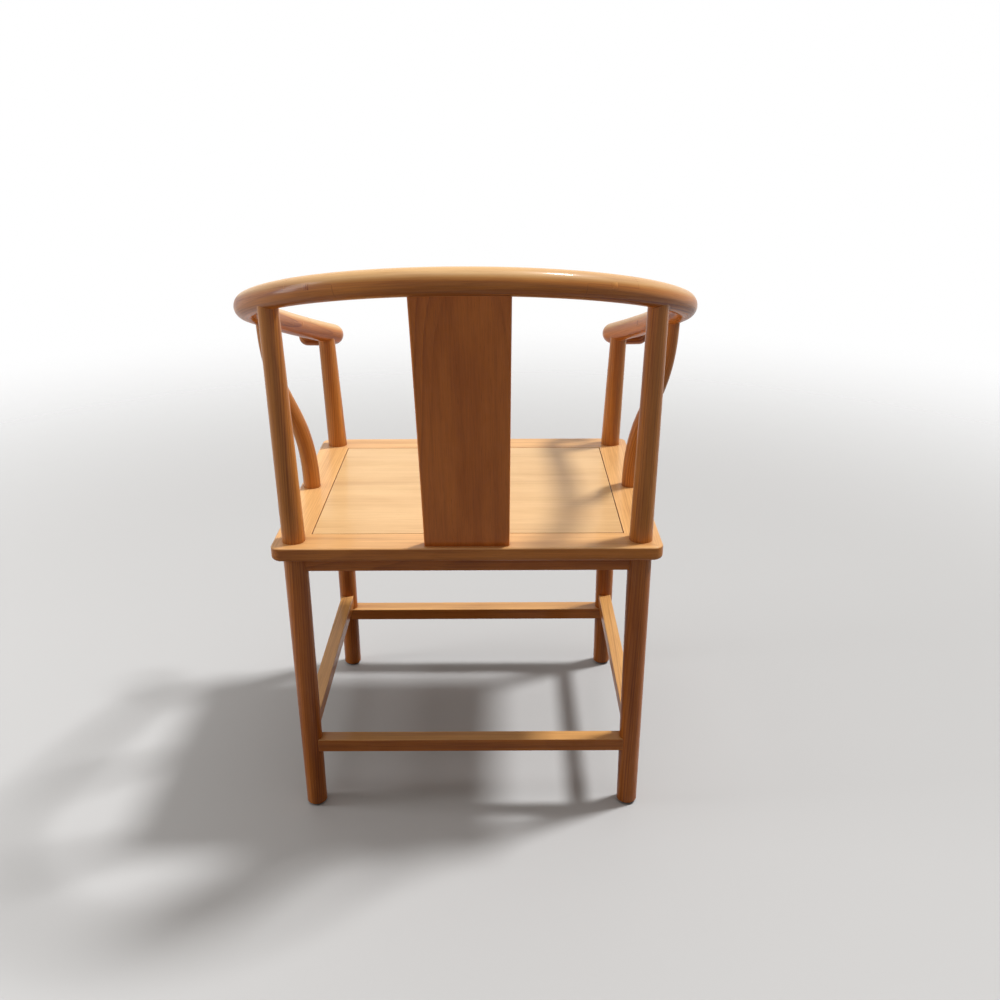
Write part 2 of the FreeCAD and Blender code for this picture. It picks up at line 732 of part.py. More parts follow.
def build_frame_ring():
    """The whole seat frame with its rounded corners and edges, before it is divided at the mitres."""
    body = body_at("frame_ring", (0, seat_mid_y, frame_low))
    outside = rectangle(
        sketch_on(body, "frame_outside", "XY_Plane"), dim.seat_width / 2, dim.seat_depth / 2)
    slab = pad(body, "frame_slab", outside, dim.frame_thick)
    corners = rounded(body, "frame_corners", slab, dim.frame_corner, runs_along(AXIS_Z))
    lower = rounded(body, "frame_lower_edge", corners, dim.frame_low_round, lies_at(size(0)))
    rounded(body, "frame_upper_edge", lower, dim.frame_top_round, lies_at(dim.frame_thick))
    opening = rectangle(
        sketch_on(body, "frame_opening", "XY_Plane"),
        dim.seat_width / 2 - dim.frame_member, dim.seat_depth / 2 - dim.frame_member)
    hollow = pocket(body, "frame_hollow", opening, True)
    half_opening = dim.seat_width.value / 2 - dim.frame_member.value + 1
    on_top = lies_at(dim.frame_thick)

    def inside(edge):
        return on_top(edge) and max(-edge.BoundBox.XMin, edge.BoundBox.XMax) < half_opening

    rounded(body, "frame_inner_edge", hollow, dim.line_round, inside)
    return body


def mitre_sector(name, corners):
    """A block that covers one member of the seat frame up to its two mitres."""
    body = body_at(name, (0, seat_mid_y, frame_low))
    sketch = outline(sketch_on(body, name + "_outline", "XY_Plane"), corners)
    pad(body, name + "_block", sketch, dim.frame_thick)
    return body


def mitre_tongue(name, side):
    """A flat tongue across the mitre of a left corner; `side` is 1 at the back and -1 at the front."""
    inner_x = dim.seat_width / 2 - dim.frame_member
    inner_y = seat_mid_y + (dim.seat_depth / 2 - dim.frame_member) * side
    diagonal = math.sqrt(0.5)
    along = dim.mitre_tongue_from * diagonal
    wide = dim.mitre_tongue_half * diagonal
    corner = (inner_x + along + wide, inner_y + along * side - wide, frame_low + 2)
    if side < 0:
        corner = (inner_x + along - wide, inner_y - along - wide, frame_low + 2)
    return primitive(
        "Box", name, corner, FreeCAD.Rotation(AXIS_Z, 45 * side),
        Length=dim.mitre_tongue_to - dim.mitre_tongue_from, Width=dim.mitre_tongue_half * 2,
        Height=dim.frame_thick / 4)


def build_panel():
    """The seat panel, flush with the frame, with a tongue all round."""
    half_x = dim.seat_width / 2 - dim.frame_member
    half_y = dim.seat_depth / 2 - dim.frame_member
    body = body_at("panel_raw", (0, seat_mid_y, dim.seat_height - dim.panel_thick))
    board = rectangle(
        sketch_on(body, "panel_board", "XY_Plane"), half_x - dim.panel_gap, half_y - dim.panel_gap)
    slab = pad(body, "panel_pad", board, dim.panel_thick)
    rounded(body, "panel_upper_edge", slab, dim.line_round, lies_at(dim.panel_thick))
    tongue_low = dim.panel_thick - dim.tongue_cover - dim.tongue_thick
    tongue = rectangle(
        sketch_on(body, "panel_tongue", "XY_Plane", (0, 0, tongue_low)),
        half_x + dim.tongue_long, half_y + dim.tongue_long)
    pad(body, "panel_tongue_pad", tongue, dim.tongue_thick)
    return body


def build_groove():
    """The hollow that the panel's tongue slides in."""
    half_x = dim.seat_width / 2 - dim.frame_member + dim.groove_deep
    half_y = dim.seat_depth / 2 - dim.frame_member + dim.groove_deep
    low = dim.seat_height - dim.tongue_cover - dim.tongue_thick
    return primitive(
        "Box", "panel_groove", (-half_x, seat_mid_y - half_y, low),
        Length=half_x * 2, Width=half_y * 2, Height=dim.tongue_thick)


def build_batten():
    """The left batten: a bar under the panel with a dovetail along its top and a tenon at each end."""
    panel_low = dim.seat_height - dim.panel_thick
    opening = dim.seat_depth - dim.frame_member * 2
    body = body_at("batten_raw", (dim.batten_x, seat_mid_y, panel_low))
    profile = outline(sketch_on(body, "batten_profile", "XZ_Plane"), [
        (-dim.batten_half, -dim.batten_tall),
        (dim.batten_half, -dim.batten_tall),
        (dim.batten_half, size(0)),
        (dim.dovetail_neck, size(0)),
        (dim.dovetail_top, dim.dovetail_tall),
        (-dim.dovetail_top, dim.dovetail_tall),
        (-dim.dovetail_neck, size(0)),
        (-dim.batten_half, size(0)),
    ])
    pad(body, "batten_pad", profile, opening, "Symmetric")
    half_long = opening / 2 + dim.groove_deep
    low = frame_low + 1
    tenon = primitive(
        "Box", "batten_tenon", (dim.batten_x - dim.dovetail_neck, seat_mid_y - half_long, low),
        Length=dim.dovetail_neck * 2, Width=half_long * 2, Height=panel_low - low)
    return SimpleNamespace(body=body, tenon=tenon)


# The raw pieces.
crest = build_crest()
shoulder = build_shoulder()
arm = build_arm()
rear_top = (dim.post_top_x, rear_y, in_room(0, dim.crest_radius * cosine(post_heading))[2])
front_top = arm_at(front_y)
brace_top = arm_at(dim.brace_top_y)
rear_leg = build_leg("rear_leg_raw", rear_y, rear_top)
front_leg = build_leg("front_leg_raw", front_y, front_top)
brace = build_brace("brace_raw", brace_top)
splat = build_splat_strip(
    "splat_raw", dim.splat_thick / 2, size(6), size(0), dim.splat_top_width + 8)[0]
narrow_splat(splat, "splat_side_left", 1)
splat_strip = narrow_splat(splat, "splat_side_right", -1)


def splat_side(edge):
    """Picks the four long curved edges of the splat."""
    return edge.BoundBox.ZLength > 100


rounded(splat, "splat_edges", splat_strip, dim.splat_round, splat_side)
splat_tongue = build_splat_strip(
    "splat_tongue", dim.splat_tongue / 2, dim.splat_tongue_deep, dim.splat_tongue_rise,
    dim.splat_tongue_width)[0]
crest_pin = wedge_pin("crest_pin", crest_centre, dim.crest_radius, dim.crest_joint)
arm_pin = wedge_pin("arm_pin", arm_centre, dim.arm_radius, dim.arm_joint)
rear_glide = build_glide("rear_glide", rear_y)
front_glide = build_glide("front_glide", front_y)
batten = build_batten()
panel = build_panel()

back_z = dim.back_low + dim.stretcher_tall / 2
footrest_z = dim.footrest_low + dim.stretcher_tall / 2
side_z = dim.side_low + dim.stretcher_tall / 2
apron_z = frame_low - dim.apron_tall / 2
past = dim.stretcher_tenon_past
short = -dim.apron_tenon_stop
back_stretcher = build_member(
    "stretcher_back", AXIS_X, (size(0), rear_y, back_z), dim.stretcher_wide, dim.stretcher_tall, past)
front_stretcher = build_member(
    "stretcher_front", AXIS_X, (size(0), front_y, footrest_z), dim.footrest_wide, dim.stretcher_tall, past)
side_stretcher = build_member(
    "stretcher_side", AXIS_Y, (leg_x, seat_mid_y, side_z), dim.stretcher_wide, dim.stretcher_tall, past)
back_apron = build_member(
    "apron_back", AXIS_X, (size(0), rear_y, apron_z), dim.apron_thick, dim.apron_tall, short)
front_apron = build_member(
    "apron_front", AXIS_X, (size(0), front_y, apron_z), dim.apron_thick, dim.apron_tall, short)
side_apron = build_member(
    "apron_side", AXIS_Y, (leg_x, seat_mid_y, apron_z), dim.apron_thick, dim.apron_tall, short)

# The rail is fitted over the posts, the splat and the braces, and pinned at its four laps.
crest_pin_far = mirrored("crest_pin_far", crest_pin)
node("rail_crest", cut("rail_crest_fit", crest, splat_tongue, crest_pin, crest_pin_far))
both_sides("rail_shoulder", cut(
    "rail_shoulder_fit", shoulder, crest_pin, arm_pin, rear_leg.tenon, brace.upper))
both_sides("rail_arm", cut("rail_arm_fit", arm, arm_pin, front_leg.tenon))
crest_pin_trimmed = common("crest_pin_trim", crest_pin, joined("crest_lap_whole", crest, shoulder))
arm_pin_trimmed = common("arm_pin_trim", arm_pin, joined("arm_lap_whole", shoulder, arm))
pins = doc.addObject("Part::Compound", "pins")
pins.Links = [
    crest_pin_trimmed, arm_pin_trimmed,
    mirrored("crest_pin_trim_far", crest_pin_trimmed), mirrored("arm_pin_trim_far", arm_pin_trimmed),
]
node("rail_wedge_pins", pins)

# Each leg is scribed to the rail and mortised for the stretchers and aprons that meet it.
rear_scribed = joined("rear_leg_tenoned", cut("rear_leg_scribed", rear_leg.body, shoulder), rear_leg.tenon)
front_scribed = joined("front_leg_tenoned", cut("front_leg_scribed", front_leg.body, arm), front_leg.tenon)
both_sides("rear_leg", cut(
    "rear_leg_fit", rear_scribed, back_stretcher.tenon, side_stretcher.tenon, back_apron.tenon,
    side_apron.tenon, rear_glide))
both_sides("front_leg", cut(
    "front_leg_fit", front_scribed, front_stretcher.tenon, side_stretcher.tenon, front_apron.tenon,
    side_apron.tenon, front_glide))
glides = doc.addObject("Part::Compound", "glides")
glides.Links = [
    rear_glide, front_glide,
    mirrored("rear_glide_far", rear_glide), mirrored("front_glide_far", front_glide),
]
node("foot_glides", glides)

# The bars between the legs are scribed to the round legs and keep their tenons.
rear_far = mirrored("rear_leg_far", rear_leg.body)
front_far = mirrored("front_leg_far", front_leg.body)


def fitted(name, member, *legs):
    return joined(name + "_fit", cut(name + "_scribed", member.body, *legs), member.tenon)


node("stretcher_back", fitted("stretcher_back", back_stretcher, rear_leg.body, rear_far))
node("stretcher_front", fitted("stretcher_front", front_stretcher, front_leg.body, front_far))
both_sides("stretcher", fitted("stretcher_side", side_stretcher, rear_leg.body, front_leg.body))
node("apron_back", fitted("apron_back", back_apron, rear_leg.body, rear_far))
node("apron_front", fitted("apron_front", front_apron, front_leg.body, front_far))
both_sides("apron", fitted("apron_side", side_apron, rear_leg.body, front_leg.body))

# The seat frame is grooved and mortised as a whole, then divided at the mitres.
ring = cut(
    "frame_worked", build_frame_ring(), build_groove(), splat_tongue, brace.lower,
    mirrored("brace_lower_far", brace.lower), batten.tenon, mirrored("batten_tenon_far", batten.tenon))
outer_x = dim.seat_width / 2 + 2
outer_y = dim.seat_depth / 2 + 2
mitre_run = dim.frame_member + 12
inner_x = outer_x - mitre_run
inner_y = outer_y - mitre_run
back_sector = mitre_sector("sector_back", [
    (-outer_x, outer_y), (-inner_x, inner_y), (inner_x, inner_y), (outer_x, outer_y)])
front_sector = mitre_sector("sector_front", [
    (-outer_x, -outer_y), (outer_x, -outer_y), (inner_x, -inner_y), (-inner_x, -inner_y)])
left_sector = mitre_sector("sector_left", [
    (outer_x, -outer_y), (outer_x, outer_y), (inner_x, inner_y), (inner_x, -inner_y)])
back_tongue = mitre_tongue("mitre_tongue_back", 1)
front_tongue = mitre_tongue("mitre_tongue_front", -1)


def long_member(name, sector, tongue, near_leg, far_leg):
    """A back or front member with its two mitre tongues, bored for the posts."""
    bar = common(name + "_part", ring, sector)
    piece = joined(name + "_tongued", bar, tongue, mirrored(tongue.Name + "_far", tongue))
    return cut(name + "_fit", piece, near_leg, far_leg)


node("seat_frame_back", long_member("frame_back", back_sector, back_tongue, rear_leg.body, rear_far))
node("seat_frame_front", long_member("frame_front", front_sector, front_tongue, front_leg.body, front_far))
left_member = common("frame_left_part", ring, left_sector)
both_sides("seat_frame", cut(
    "frame_left_fit", left_member, back_tongue, front_tongue, rear_leg.body, front_leg.body))

# The panel floats in the groove on its two battens.
batten_far = mirrored("batten_far", batten.body)
node("seat_panel", cut("panel_fit", panel, batten.body, batten_far))
both_sides("panel_batten", joined("batten_fit", batten.body, batten.tenon))

# The splat and the side braces stand on the seat and are scribed to the underside of the rail.
node("back_splat", joined("splat_fit", cut("splat_scribed", splat, crest, ring), splat_tongue))
brace_scribed = cut("brace_scribed", brace.body, shoulder)
both_sides("side_brace", joined("brace_fit", brace_scribed, brace.lower, brace.upper))

doc.recompute()

for thing in doc.Objects:
    if "Invalid" in thing.State or "Error" in thing.State:
        raise RuntimeError("%s did not build: %s" % (thing.Name, thing.State))

os.makedirs("parts", exist_ok=True)
for thing in nodes:
    shape = thing.Shape
    if shape.isNull() or not shape.isValid():
        raise RuntimeError("%s has no sound shape" % thing.Label)
    shape.exportStep("parts/%s.step" % thing.Label)
    print("%-22s solids %d  volume %.1f cm3" % (thing.Label, len(shape.Solids), shape.Volume / 1000))

whole = Part.makeCompound([thing.Shape for thing in nodes]).optimalBoundingBox(False)
print("overall %.1f x %.1f x %.1f" % (whole.XLength, whole.YLength, whole.ZLength))
print("front to back from %.2f to %.2f" % (whole.YMin, whole.YMax))
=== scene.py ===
# %% [markdown]
# # A round-back tea chair
# This lesson dresses a wooden armchair that was drawn in CAD. The drawing gives every piece in
# metres, standing on the floor at z = 0. The sitter faces -Y, and +X is at the sitter's left hand.
# Straight and turned pieces keep their drawn shape and only get their wood. The bent pieces are
# grown again with Geometry Nodes, because a piece that knows its own path can carry its grain
# round the bend.

# %% Load the chair
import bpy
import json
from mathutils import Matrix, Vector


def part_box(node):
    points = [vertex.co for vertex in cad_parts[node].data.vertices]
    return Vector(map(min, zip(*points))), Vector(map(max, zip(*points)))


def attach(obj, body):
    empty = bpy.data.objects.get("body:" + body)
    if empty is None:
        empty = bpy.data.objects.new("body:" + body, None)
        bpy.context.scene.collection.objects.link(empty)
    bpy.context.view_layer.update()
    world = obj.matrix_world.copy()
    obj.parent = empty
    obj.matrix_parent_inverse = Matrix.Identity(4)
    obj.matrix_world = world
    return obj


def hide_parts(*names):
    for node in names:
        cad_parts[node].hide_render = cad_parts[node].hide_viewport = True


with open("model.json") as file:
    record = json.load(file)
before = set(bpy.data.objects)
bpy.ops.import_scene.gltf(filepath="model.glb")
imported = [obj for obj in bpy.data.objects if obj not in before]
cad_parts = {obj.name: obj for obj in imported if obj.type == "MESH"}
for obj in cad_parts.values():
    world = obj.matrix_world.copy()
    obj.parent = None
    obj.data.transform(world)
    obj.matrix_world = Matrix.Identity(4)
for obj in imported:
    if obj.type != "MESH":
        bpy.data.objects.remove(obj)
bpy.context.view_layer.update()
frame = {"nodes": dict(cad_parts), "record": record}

print("pieces in the drawing:", len(frame["nodes"]))

# %% [markdown]
# ## Node trees from code
# Materials and Geometry Nodes are both trees of nodes. In the editor they are drawn by hand. In a
# script, adding a node, setting it and linking it takes several lines each time, so a few small
# helpers do it in one. The trees below then read almost like formulas. Sizes are written in
# millimetres, as a maker thinks, and multiplied by MM, because Blender counts in metres.

# %% Helpers for nodes
import json
import math

import bpy
from mathutils import Color, Matrix, Vector

MM = 0.001


def put(tree, kind, inputs=None, **settings):
    """Add one node. Its inputs are plain values or the outputs of other nodes."""
    node = tree.nodes.new(kind)
    for name, value in settings.items():
        setattr(node, name, value)
    for key, value in (inputs or {}).items():
        if isinstance(value, bpy.types.NodeSocket):
            tree.links.new(value, node.inputs[key])
        else:
            node.inputs[key].default_value = value
    return node


def calc(tree, job, *values):
    """One Math node, such as calc(tree, "ADD", a, b)."""
    return put(tree, "ShaderNodeMath", dict(enumerate(values)), operation=job).outputs[0]


def vector_calc(tree, job, *values):
    """One Vector Math node. LENGTH and DOT_PRODUCT give a number, other jobs a vector."""
    node = put(tree, "ShaderNodeVectorMath", dict(enumerate(values)), operation=job)
    return node.outputs["Value" if job in ("LENGTH", "DOT_PRODUCT") else "Vector"]


def xyz(tree, vector):
    """The three numbers of a vector."""
    return put(tree, "ShaderNodeSeparateXYZ", {0: vector}).outputs


print("one millimetre is", MM, "of a Blender unit")

# %% [markdown]
# ## Wood figure
# The chair is a honey-coloured hardwood under clear satin lacquer. A plank is a slice of a log, so
# its figure is a solid pattern: growth rings round the heart of the log, long pale and dark
# streaks, short dark dashes and thousands of fine pores, all running along the grain. A flat
# picture of wood on each face would break at the edges. A pattern worked out from each point's
# place in the log runs over an edge as real wood does, so that is what the group below makes. Its
# input is a place in the log, with X along the grain and the heart at Y = Z = 0.

# %% Colour and number helpers
def srgb(red, green, blue):
    """A screen colour from 0 to 255 as the linear colour that a shader needs."""
    screen = Color((red / 255, green / 255, blue / 255))
    return (*screen.from_srgb_to_scene_linear(), 1.0)


def ranged(tree, value, low, high, to_low=0.0, to_high=1.0):
    """Slide smoothly from one number to another while the value goes from low to high."""
    return put(tree, "ShaderNodeMapRange", {
        "Value": value, "From Min": low, "From Max": high, "To Min": to_low, "To Max": to_high,
    }, interpolation_type="SMOOTHSTEP").outputs[0]


def mixed(tree, factor, first, second, way="MIX"):
    """Go from the first colour to the second, or darken by it where the way is MULTIPLY."""
    return put(tree, "ShaderNodeMix", {0: factor, 6: first, 7: second},
               data_type="RGBA", blend_type=way).outputs[2]


print("honey in linear light:", [round(level, 3) for level in srgb(226, 160, 80)])

# %% Noise along the grain
LOG_TAPER = 0.03
SLOW_WAVE = 18 * MM
SHORT_WAVE = 2.4 * MM
RING_SPREAD = 1.9
LATE_WOOD = 2.2


def drawn_out(tree, place, along, across, detail=2.0, roughness=0.5):
    """Noise that is drawn out along the grain. The two scales count features per metre."""
    stretched = vector_calc(tree, "MULTIPLY", place, (along, across, across))
    return put(tree, "ShaderNodeTexNoise", {
        "Vector": stretched, "Scale": 1.0, "Detail": detail, "Roughness": roughness}).outputs[0]


def counted(tree, count, scale, detail):
    """Noise along one line, for what changes from ring to ring."""
    return put(tree, "ShaderNodeTexNoise", {"W": count, "Scale": scale, "Detail": detail},
               noise_dimensions="1D").outputs[0]


def add_rings(tree, place, width):
    """Growth rings: the distance from the heart of a log that tapers, bent by slow waves."""
    reach = vector_calc(tree, "LENGTH", vector_calc(tree, "MULTIPLY", place, (0.0, 1.0, 1.0)))
    reach = calc(tree, "MULTIPLY_ADD", xyz(tree, place)[0], LOG_TAPER, reach)
    slow = drawn_out(tree, place, along=1.3, across=7.0, detail=3.0)
    reach = calc(tree, "MULTIPLY_ADD", slow, SLOW_WAVE, reach)
    short = drawn_out(tree, place, along=6.0, across=40.0)
    reach = calc(tree, "MULTIPLY_ADD", short, SHORT_WAVE, reach)
    count = calc(tree, "DIVIDE", reach, width)
    uneven = counted(tree, count, scale=0.37, detail=2.0)
    count = calc(tree, "MULTIPLY_ADD", uneven, RING_SPREAD, count)
    turn = calc(tree, "FRACT", count)
    late = calc(tree, "POWER", turn, LATE_WOOD)
    late = calc(tree, "MULTIPLY", late, ranged(tree, turn, low=0.88, high=1.0, to_low=1.0, to_high=0.0))
    year = counted(tree, count, scale=0.19, detail=1.0)
    return calc(tree, "MULTIPLY", late, ranged(tree, year, low=0.35, high=0.70, to_low=0.15))


print("the log's radius shrinks by", round(LOG_TAPER / MM), "mm in each metre")

# %% The figure as a node group
FIGURE_INPUTS = {"Place": "Vector", "Pale wood": "Color", "Dark wood": "Color", "Ring width": "Float",
                 "Rings": "Float", "Streaks": "Float", "Clouds": "Float", "Dashes": "Float"}
FIGURE_OUTPUTS = {"Colour": "Color", "Roughness": "Float", "Height": "Float"}
FIBRE_DARK, PORE_DARK = 0.14, 0.45
HOLE_TINT = (0.60, 0.48, 0.36, 1.0)
SMOOTH, PORE_ROUGH, CLOUD_ROUGH = 0.34, 0.10, 0.08
PORE_DEPTH, RING_RISE = 0.8, 0.4


def make_wood_figure():
    tree = bpy.data.node_groups.new("wood figure", "ShaderNodeTree")
    for name, kind in FIGURE_INPUTS.items():
        tree.interface.new_socket(name, in_out="INPUT", socket_type="NodeSocket" + kind)
    for name, kind in FIGURE_OUTPUTS.items():
        tree.interface.new_socket(name, in_out="OUTPUT", socket_type="NodeSocket" + kind)
    given = put(tree, "NodeGroupInput").outputs
    place = given["Place"]
    rings = add_rings(tree, place, given["Ring width"])
    streak = drawn_out(tree, place, along=0.9, across=60.0, detail=4.0, roughness=0.6)
    streak = ranged(tree, streak, low=0.30, high=0.74)
    cloud = drawn_out(tree, place, along=6.0, across=24.0, detail=3.0)
    cloud = ranged(tree, cloud, low=0.30, high=0.72)
    fibre = drawn_out(tree, place, along=14.0, across=800.0, roughness=0.6)
    dash = drawn_out(tree, place, along=11.0, across=230.0, detail=1.0)
    dash = ranged(tree, dash, low=0.58, high=0.74)
    pore = drawn_out(tree, place, along=40.0, across=1700.0, detail=1.0)
    pore = ranged(tree, pore, low=0.62, high=0.74)

    dark = calc(tree, "MULTIPLY", rings, given["Rings"])
    dark = calc(tree, "MULTIPLY_ADD", streak, given["Streaks"], dark)
    dark = calc(tree, "MULTIPLY_ADD", cloud, given["Clouds"], dark)
    dark = calc(tree, "MULTIPLY_ADD", ranged(tree, fibre, low=0.35, high=0.70), FIBRE_DARK, dark)
    colour = mixed(tree, dark, given["Pale wood"], given["Dark wood"])
    dash = calc(tree, "MULTIPLY", dash, given["Dashes"])
    holes = calc(tree, "MAXIMUM", dash, calc(tree, "MULTIPLY", pore, PORE_DARK))
    colour = mixed(tree, holes, colour, HOLE_TINT, "MULTIPLY")

    rough = calc(tree, "MULTIPLY_ADD", pore, PORE_ROUGH, SMOOTH)
    rough = calc(tree, "MULTIPLY_ADD", cloud, CLOUD_ROUGH, rough)
    height = calc(tree, "MULTIPLY_ADD", pore, -PORE_DEPTH, fibre)
    height = calc(tree, "MULTIPLY_ADD", rings, RING_RISE, height)
    put(tree, "NodeGroupOutput", {"Colour": colour, "Roughness": rough, "Height": height})
    return tree


wood_figure = make_wood_figure()
print("wood figure:", len(wood_figure.nodes), "nodes")

# %% [markdown]
# ## Planks
# A chair maker saws each piece from its own place in the log, with the grain along the piece. A
# Mapping node does the same: it turns the pattern so that its X lies along the piece, and slides it
# so that the heart of the log passes beside it. For a bent piece no single turn is right, so its
# mesh carries an attribute, made where the piece is bent, that says how far along, out and up each
# point lies.

# %% Where a piece lies in its log
NEARLY_UPRIGHT = 0.9


def on_object(tree):
    """A point's place on its own object, which moves with the piece."""
    return put(tree, "ShaderNodeTexCoord").outputs["Object"]


def straight_plank(along, centre, heart, start):
    """For a straight piece. Heart is how far the middle of the log lies to the side."""
    along = Vector(along).normalized()
    side = along.cross((0, 1, 0) if abs(along.z) > NEARLY_UPRIGHT else (0, 0, 1)).normalized()
    turn = Matrix((along, side, along.cross(side)))
    slide = turn @ Vector(centre) + Vector((start, *heart))

    def make_place(tree):
        return put(tree, "ShaderNodeMapping", {
            "Vector": on_object(tree), "Location": -slide, "Rotation": turn.to_euler()}).outputs[0]
    return make_place


def bent_plank(heart, start):
    """For a bent piece, which has its own grain attribute."""
    def make_place(tree):
        spot = put(tree, "ShaderNodeAttribute", attribute_name="grain").outputs["Vector"]
        return put(tree, "ShaderNodeMapping", {"Vector": spot, "Location": (start, *heart)}).outputs[0]
    return make_place


print("a plank is placed by its direction, its middle and the heart of its log")

# %% [markdown]
# ## Lacquer
# Satin lacquer is a thin clear coat over the wood. It has slow ripples of its own, which make a
# highlight waver a little. Light and shade are also painted into the wood's colour: faces that look
# up are painted much paler than steep ones, as painted top light, and legs are painted paler above
# the seat and darker in its shade below. The normal's Z finds the faces that look up, and a Gamma
# node below one makes them paler but keeps their figure. Sharp edges are painted paler, partly as
# lacquer worn thin and partly as a painted highlight, and corners are darkened with painted shade.
# The Bevel node finds edges by comparing a softened normal with the true one, and Ambient Occlusion
# finds corners, so none of it is painted on by hand. The kinds of wood below differ a little, as
# boards picked for different jobs do: a calm pale board for the seat, a broad figure for the splat
# and closer lines for the legs.

# %% Kinds of wood
def wood(pale, dark, ring, rings, streaks, clouds, dashes):
    """Two screen colours, a ring's width in millimetres, and how strongly each mark shows."""
    return {"Pale wood": srgb(*pale), "Dark wood": srgb(*dark), "Ring width": ring * MM,
            "Rings": rings, "Streaks": streaks, "Clouds": clouds, "Dashes": dashes}


WOODS = {
    "rail": wood((232, 152, 70), (130, 57, 15), 4.5, 0.68, 0.54, 0.22, 0.30),
    "frame": wood((230, 151, 71), (138, 66, 20), 4.0, 0.50, 0.44, 0.20, 0.34),
    "panel": wood((202, 138, 67), (144, 80, 31), 6.0, 0.36, 0.26, 0.32, 0.24),
    "leg": wood((217, 134, 54), (119, 52, 13), 3.5, 0.50, 0.44, 0.20, 0.34),
    "splat": wood((242, 148, 68), (158, 76, 26), 7.0, 0.48, 0.26, 0.34, 0.18),
}
print("kinds of wood:", ", ".join(WOODS))

# %% Painted light and shade, and edge wear
SEAT_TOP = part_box("seat_panel")[1][2]
STEEP, LEVEL = 0.18, 0.66
SHADE_BELOW, SUN_ABOVE = SEAT_TOP - 100 * MM, SEAT_TOP + 40 * MM
SHADED, SUNNY = 1.06, 0.84
EDGE_REACH, CORNER_SHADE_REACH = 1.1 * MM, 12 * MM
# Colour for sharp edges: lacquer worn thin, and a painted highlight.
WORN_AND_HIGHLIT_EDGE_COLOUR = srgb(232, 172, 98)
# Tint multiplied into corners as painted shade.
PAINTED_SHADE_TINT = (0.50, 0.38, 0.28, 1.0)


def painted_top_light_and_seat_shade(tree, colour, top_light_gamma, upright):
    """Painted light and shade: paler where it looks up, and on an upright piece paler above the seat and
    darker in its shade below.
    """
    upward = xyz(tree, put(tree, "ShaderNodeNewGeometry").outputs["Normal"])[2]
    # Painted top light: faces that look up get a lower gamma, so they are painted paler.
    lift = ranged(tree, upward, STEEP, LEVEL, to_low=1.0, to_high=top_light_gamma)
    if upright:
        height = xyz(tree, on_object(tree))[2]
        # Painted shade below the seat and painted light above it, set by height on the object.
        from_seat = ranged(tree, height, SHADE_BELOW, SUN_ABOVE, to_low=SHADED, to_high=SUNNY)
        lift = calc(tree, "MULTIPLY", lift, from_seat)
    return put(tree, "ShaderNodeGamma", {"Color": colour, "Gamma": lift}).outputs[0]


def edge_wear_highlight_and_corner_shade(tree, colour, edge_wear_and_highlight):
    """Paler on sharp edges, partly as worn lacquer and partly as a painted highlight; darker in corners, as
    painted shade.
    """
    true = put(tree, "ShaderNodeNewGeometry").outputs["Normal"]
    soft = put(tree, "ShaderNodeBevel", {"Radius": EDGE_REACH}, samples=4).outputs[0]
    likeness = vector_calc(tree, "DOT_PRODUCT", soft, true)
    # Sharp edges are painted paler: partly worn lacquer, partly a painted highlight.
    worn_and_highlit_edges = ranged(tree, likeness, low=0.97, high=0.80, to_high=edge_wear_and_highlight)
    colour = mixed(tree, worn_and_highlit_edges, colour, WORN_AND_HIGHLIT_EDGE_COLOUR)
    # Corners are darkened with painted shade, found by Ambient Occlusion.
    open_air = put(tree, "ShaderNodeAmbientOcclusion", {"Distance": CORNER_SHADE_REACH}, samples=4).outputs["AO"]
    painted_corner_shade = ranged(tree, open_air, low=0.85, high=0.35, to_high=0.7)
    return mixed(tree, painted_corner_shade, colour, PAINTED_SHADE_TINT, "MULTIPLY")


print("the seat's top is", round(SEAT_TOP, 5), "m above the floor")

# %% The lacquer
# How strongly sharp edges show wear and a painted highlight.
EDGE_WEAR_AND_HIGHLIGHT = 0.40
# Gammas for painted top light: the lower, the paler the faces that look up.
PAINTED_TOP_LIGHT, STRONGEST_PAINTED_TOP_LIGHT = 0.58, 0.50
SATIN_COAT, OILED_COAT = 0.28, 0.05


def new_material(name):
    """A material and its node tree, which is still empty."""
    material = bpy.data.materials.new(name)
    material.use_nodes = True
    material.node_tree.nodes.clear()
    return material, material.node_tree


def lacquer(name, make_place, kind, edge_wear_and_highlight=EDGE_WEAR_AND_HIGHLIGHT, coat=SATIN_COAT, top_light_gamma=PAINTED_TOP_LIGHT, upright=False):
    """Lacquered wood. make_place adds the nodes that find a point's place in the log."""
    material, tree = new_material(name)
    figure = put(tree, "ShaderNodeGroup", {"Place": make_place(tree)} | WOODS[kind],
                 node_tree=wood_figure).outputs
    ripple = put(tree, "ShaderNodeTexNoise", {
        "Vector": on_object(tree), "Scale": 55.0, "Detail": 1.0}).outputs[0]
    skin = put(tree, "ShaderNodeBump", {
        "Height": ripple, "Strength": 0.10, "Distance": 1 * MM}).outputs[0]
    grain = put(tree, "ShaderNodeBump", {
        "Height": figure["Height"], "Strength": 0.20, "Distance": 0.12 * MM, "Normal": skin}).outputs[0]
    colour = painted_top_light_and_seat_shade(tree, figure["Colour"], top_light_gamma, upright)
    shine = put(tree, "ShaderNodeBsdfPrincipled", {
        "Base Color": edge_wear_highlight_and_corner_shade(tree, colour, edge_wear_and_highlight), "Roughness": figure["Roughness"], "Normal": grain,
        "Specular IOR Level": 0.15, "Coat Weight": coat, "Coat Roughness": 0.13})
    put(tree, "ShaderNodeOutputMaterial", {"Surface": shine.outputs[0]})
    return material


print("lacquer coat: satin, with", len(WOODS), "woods under it")

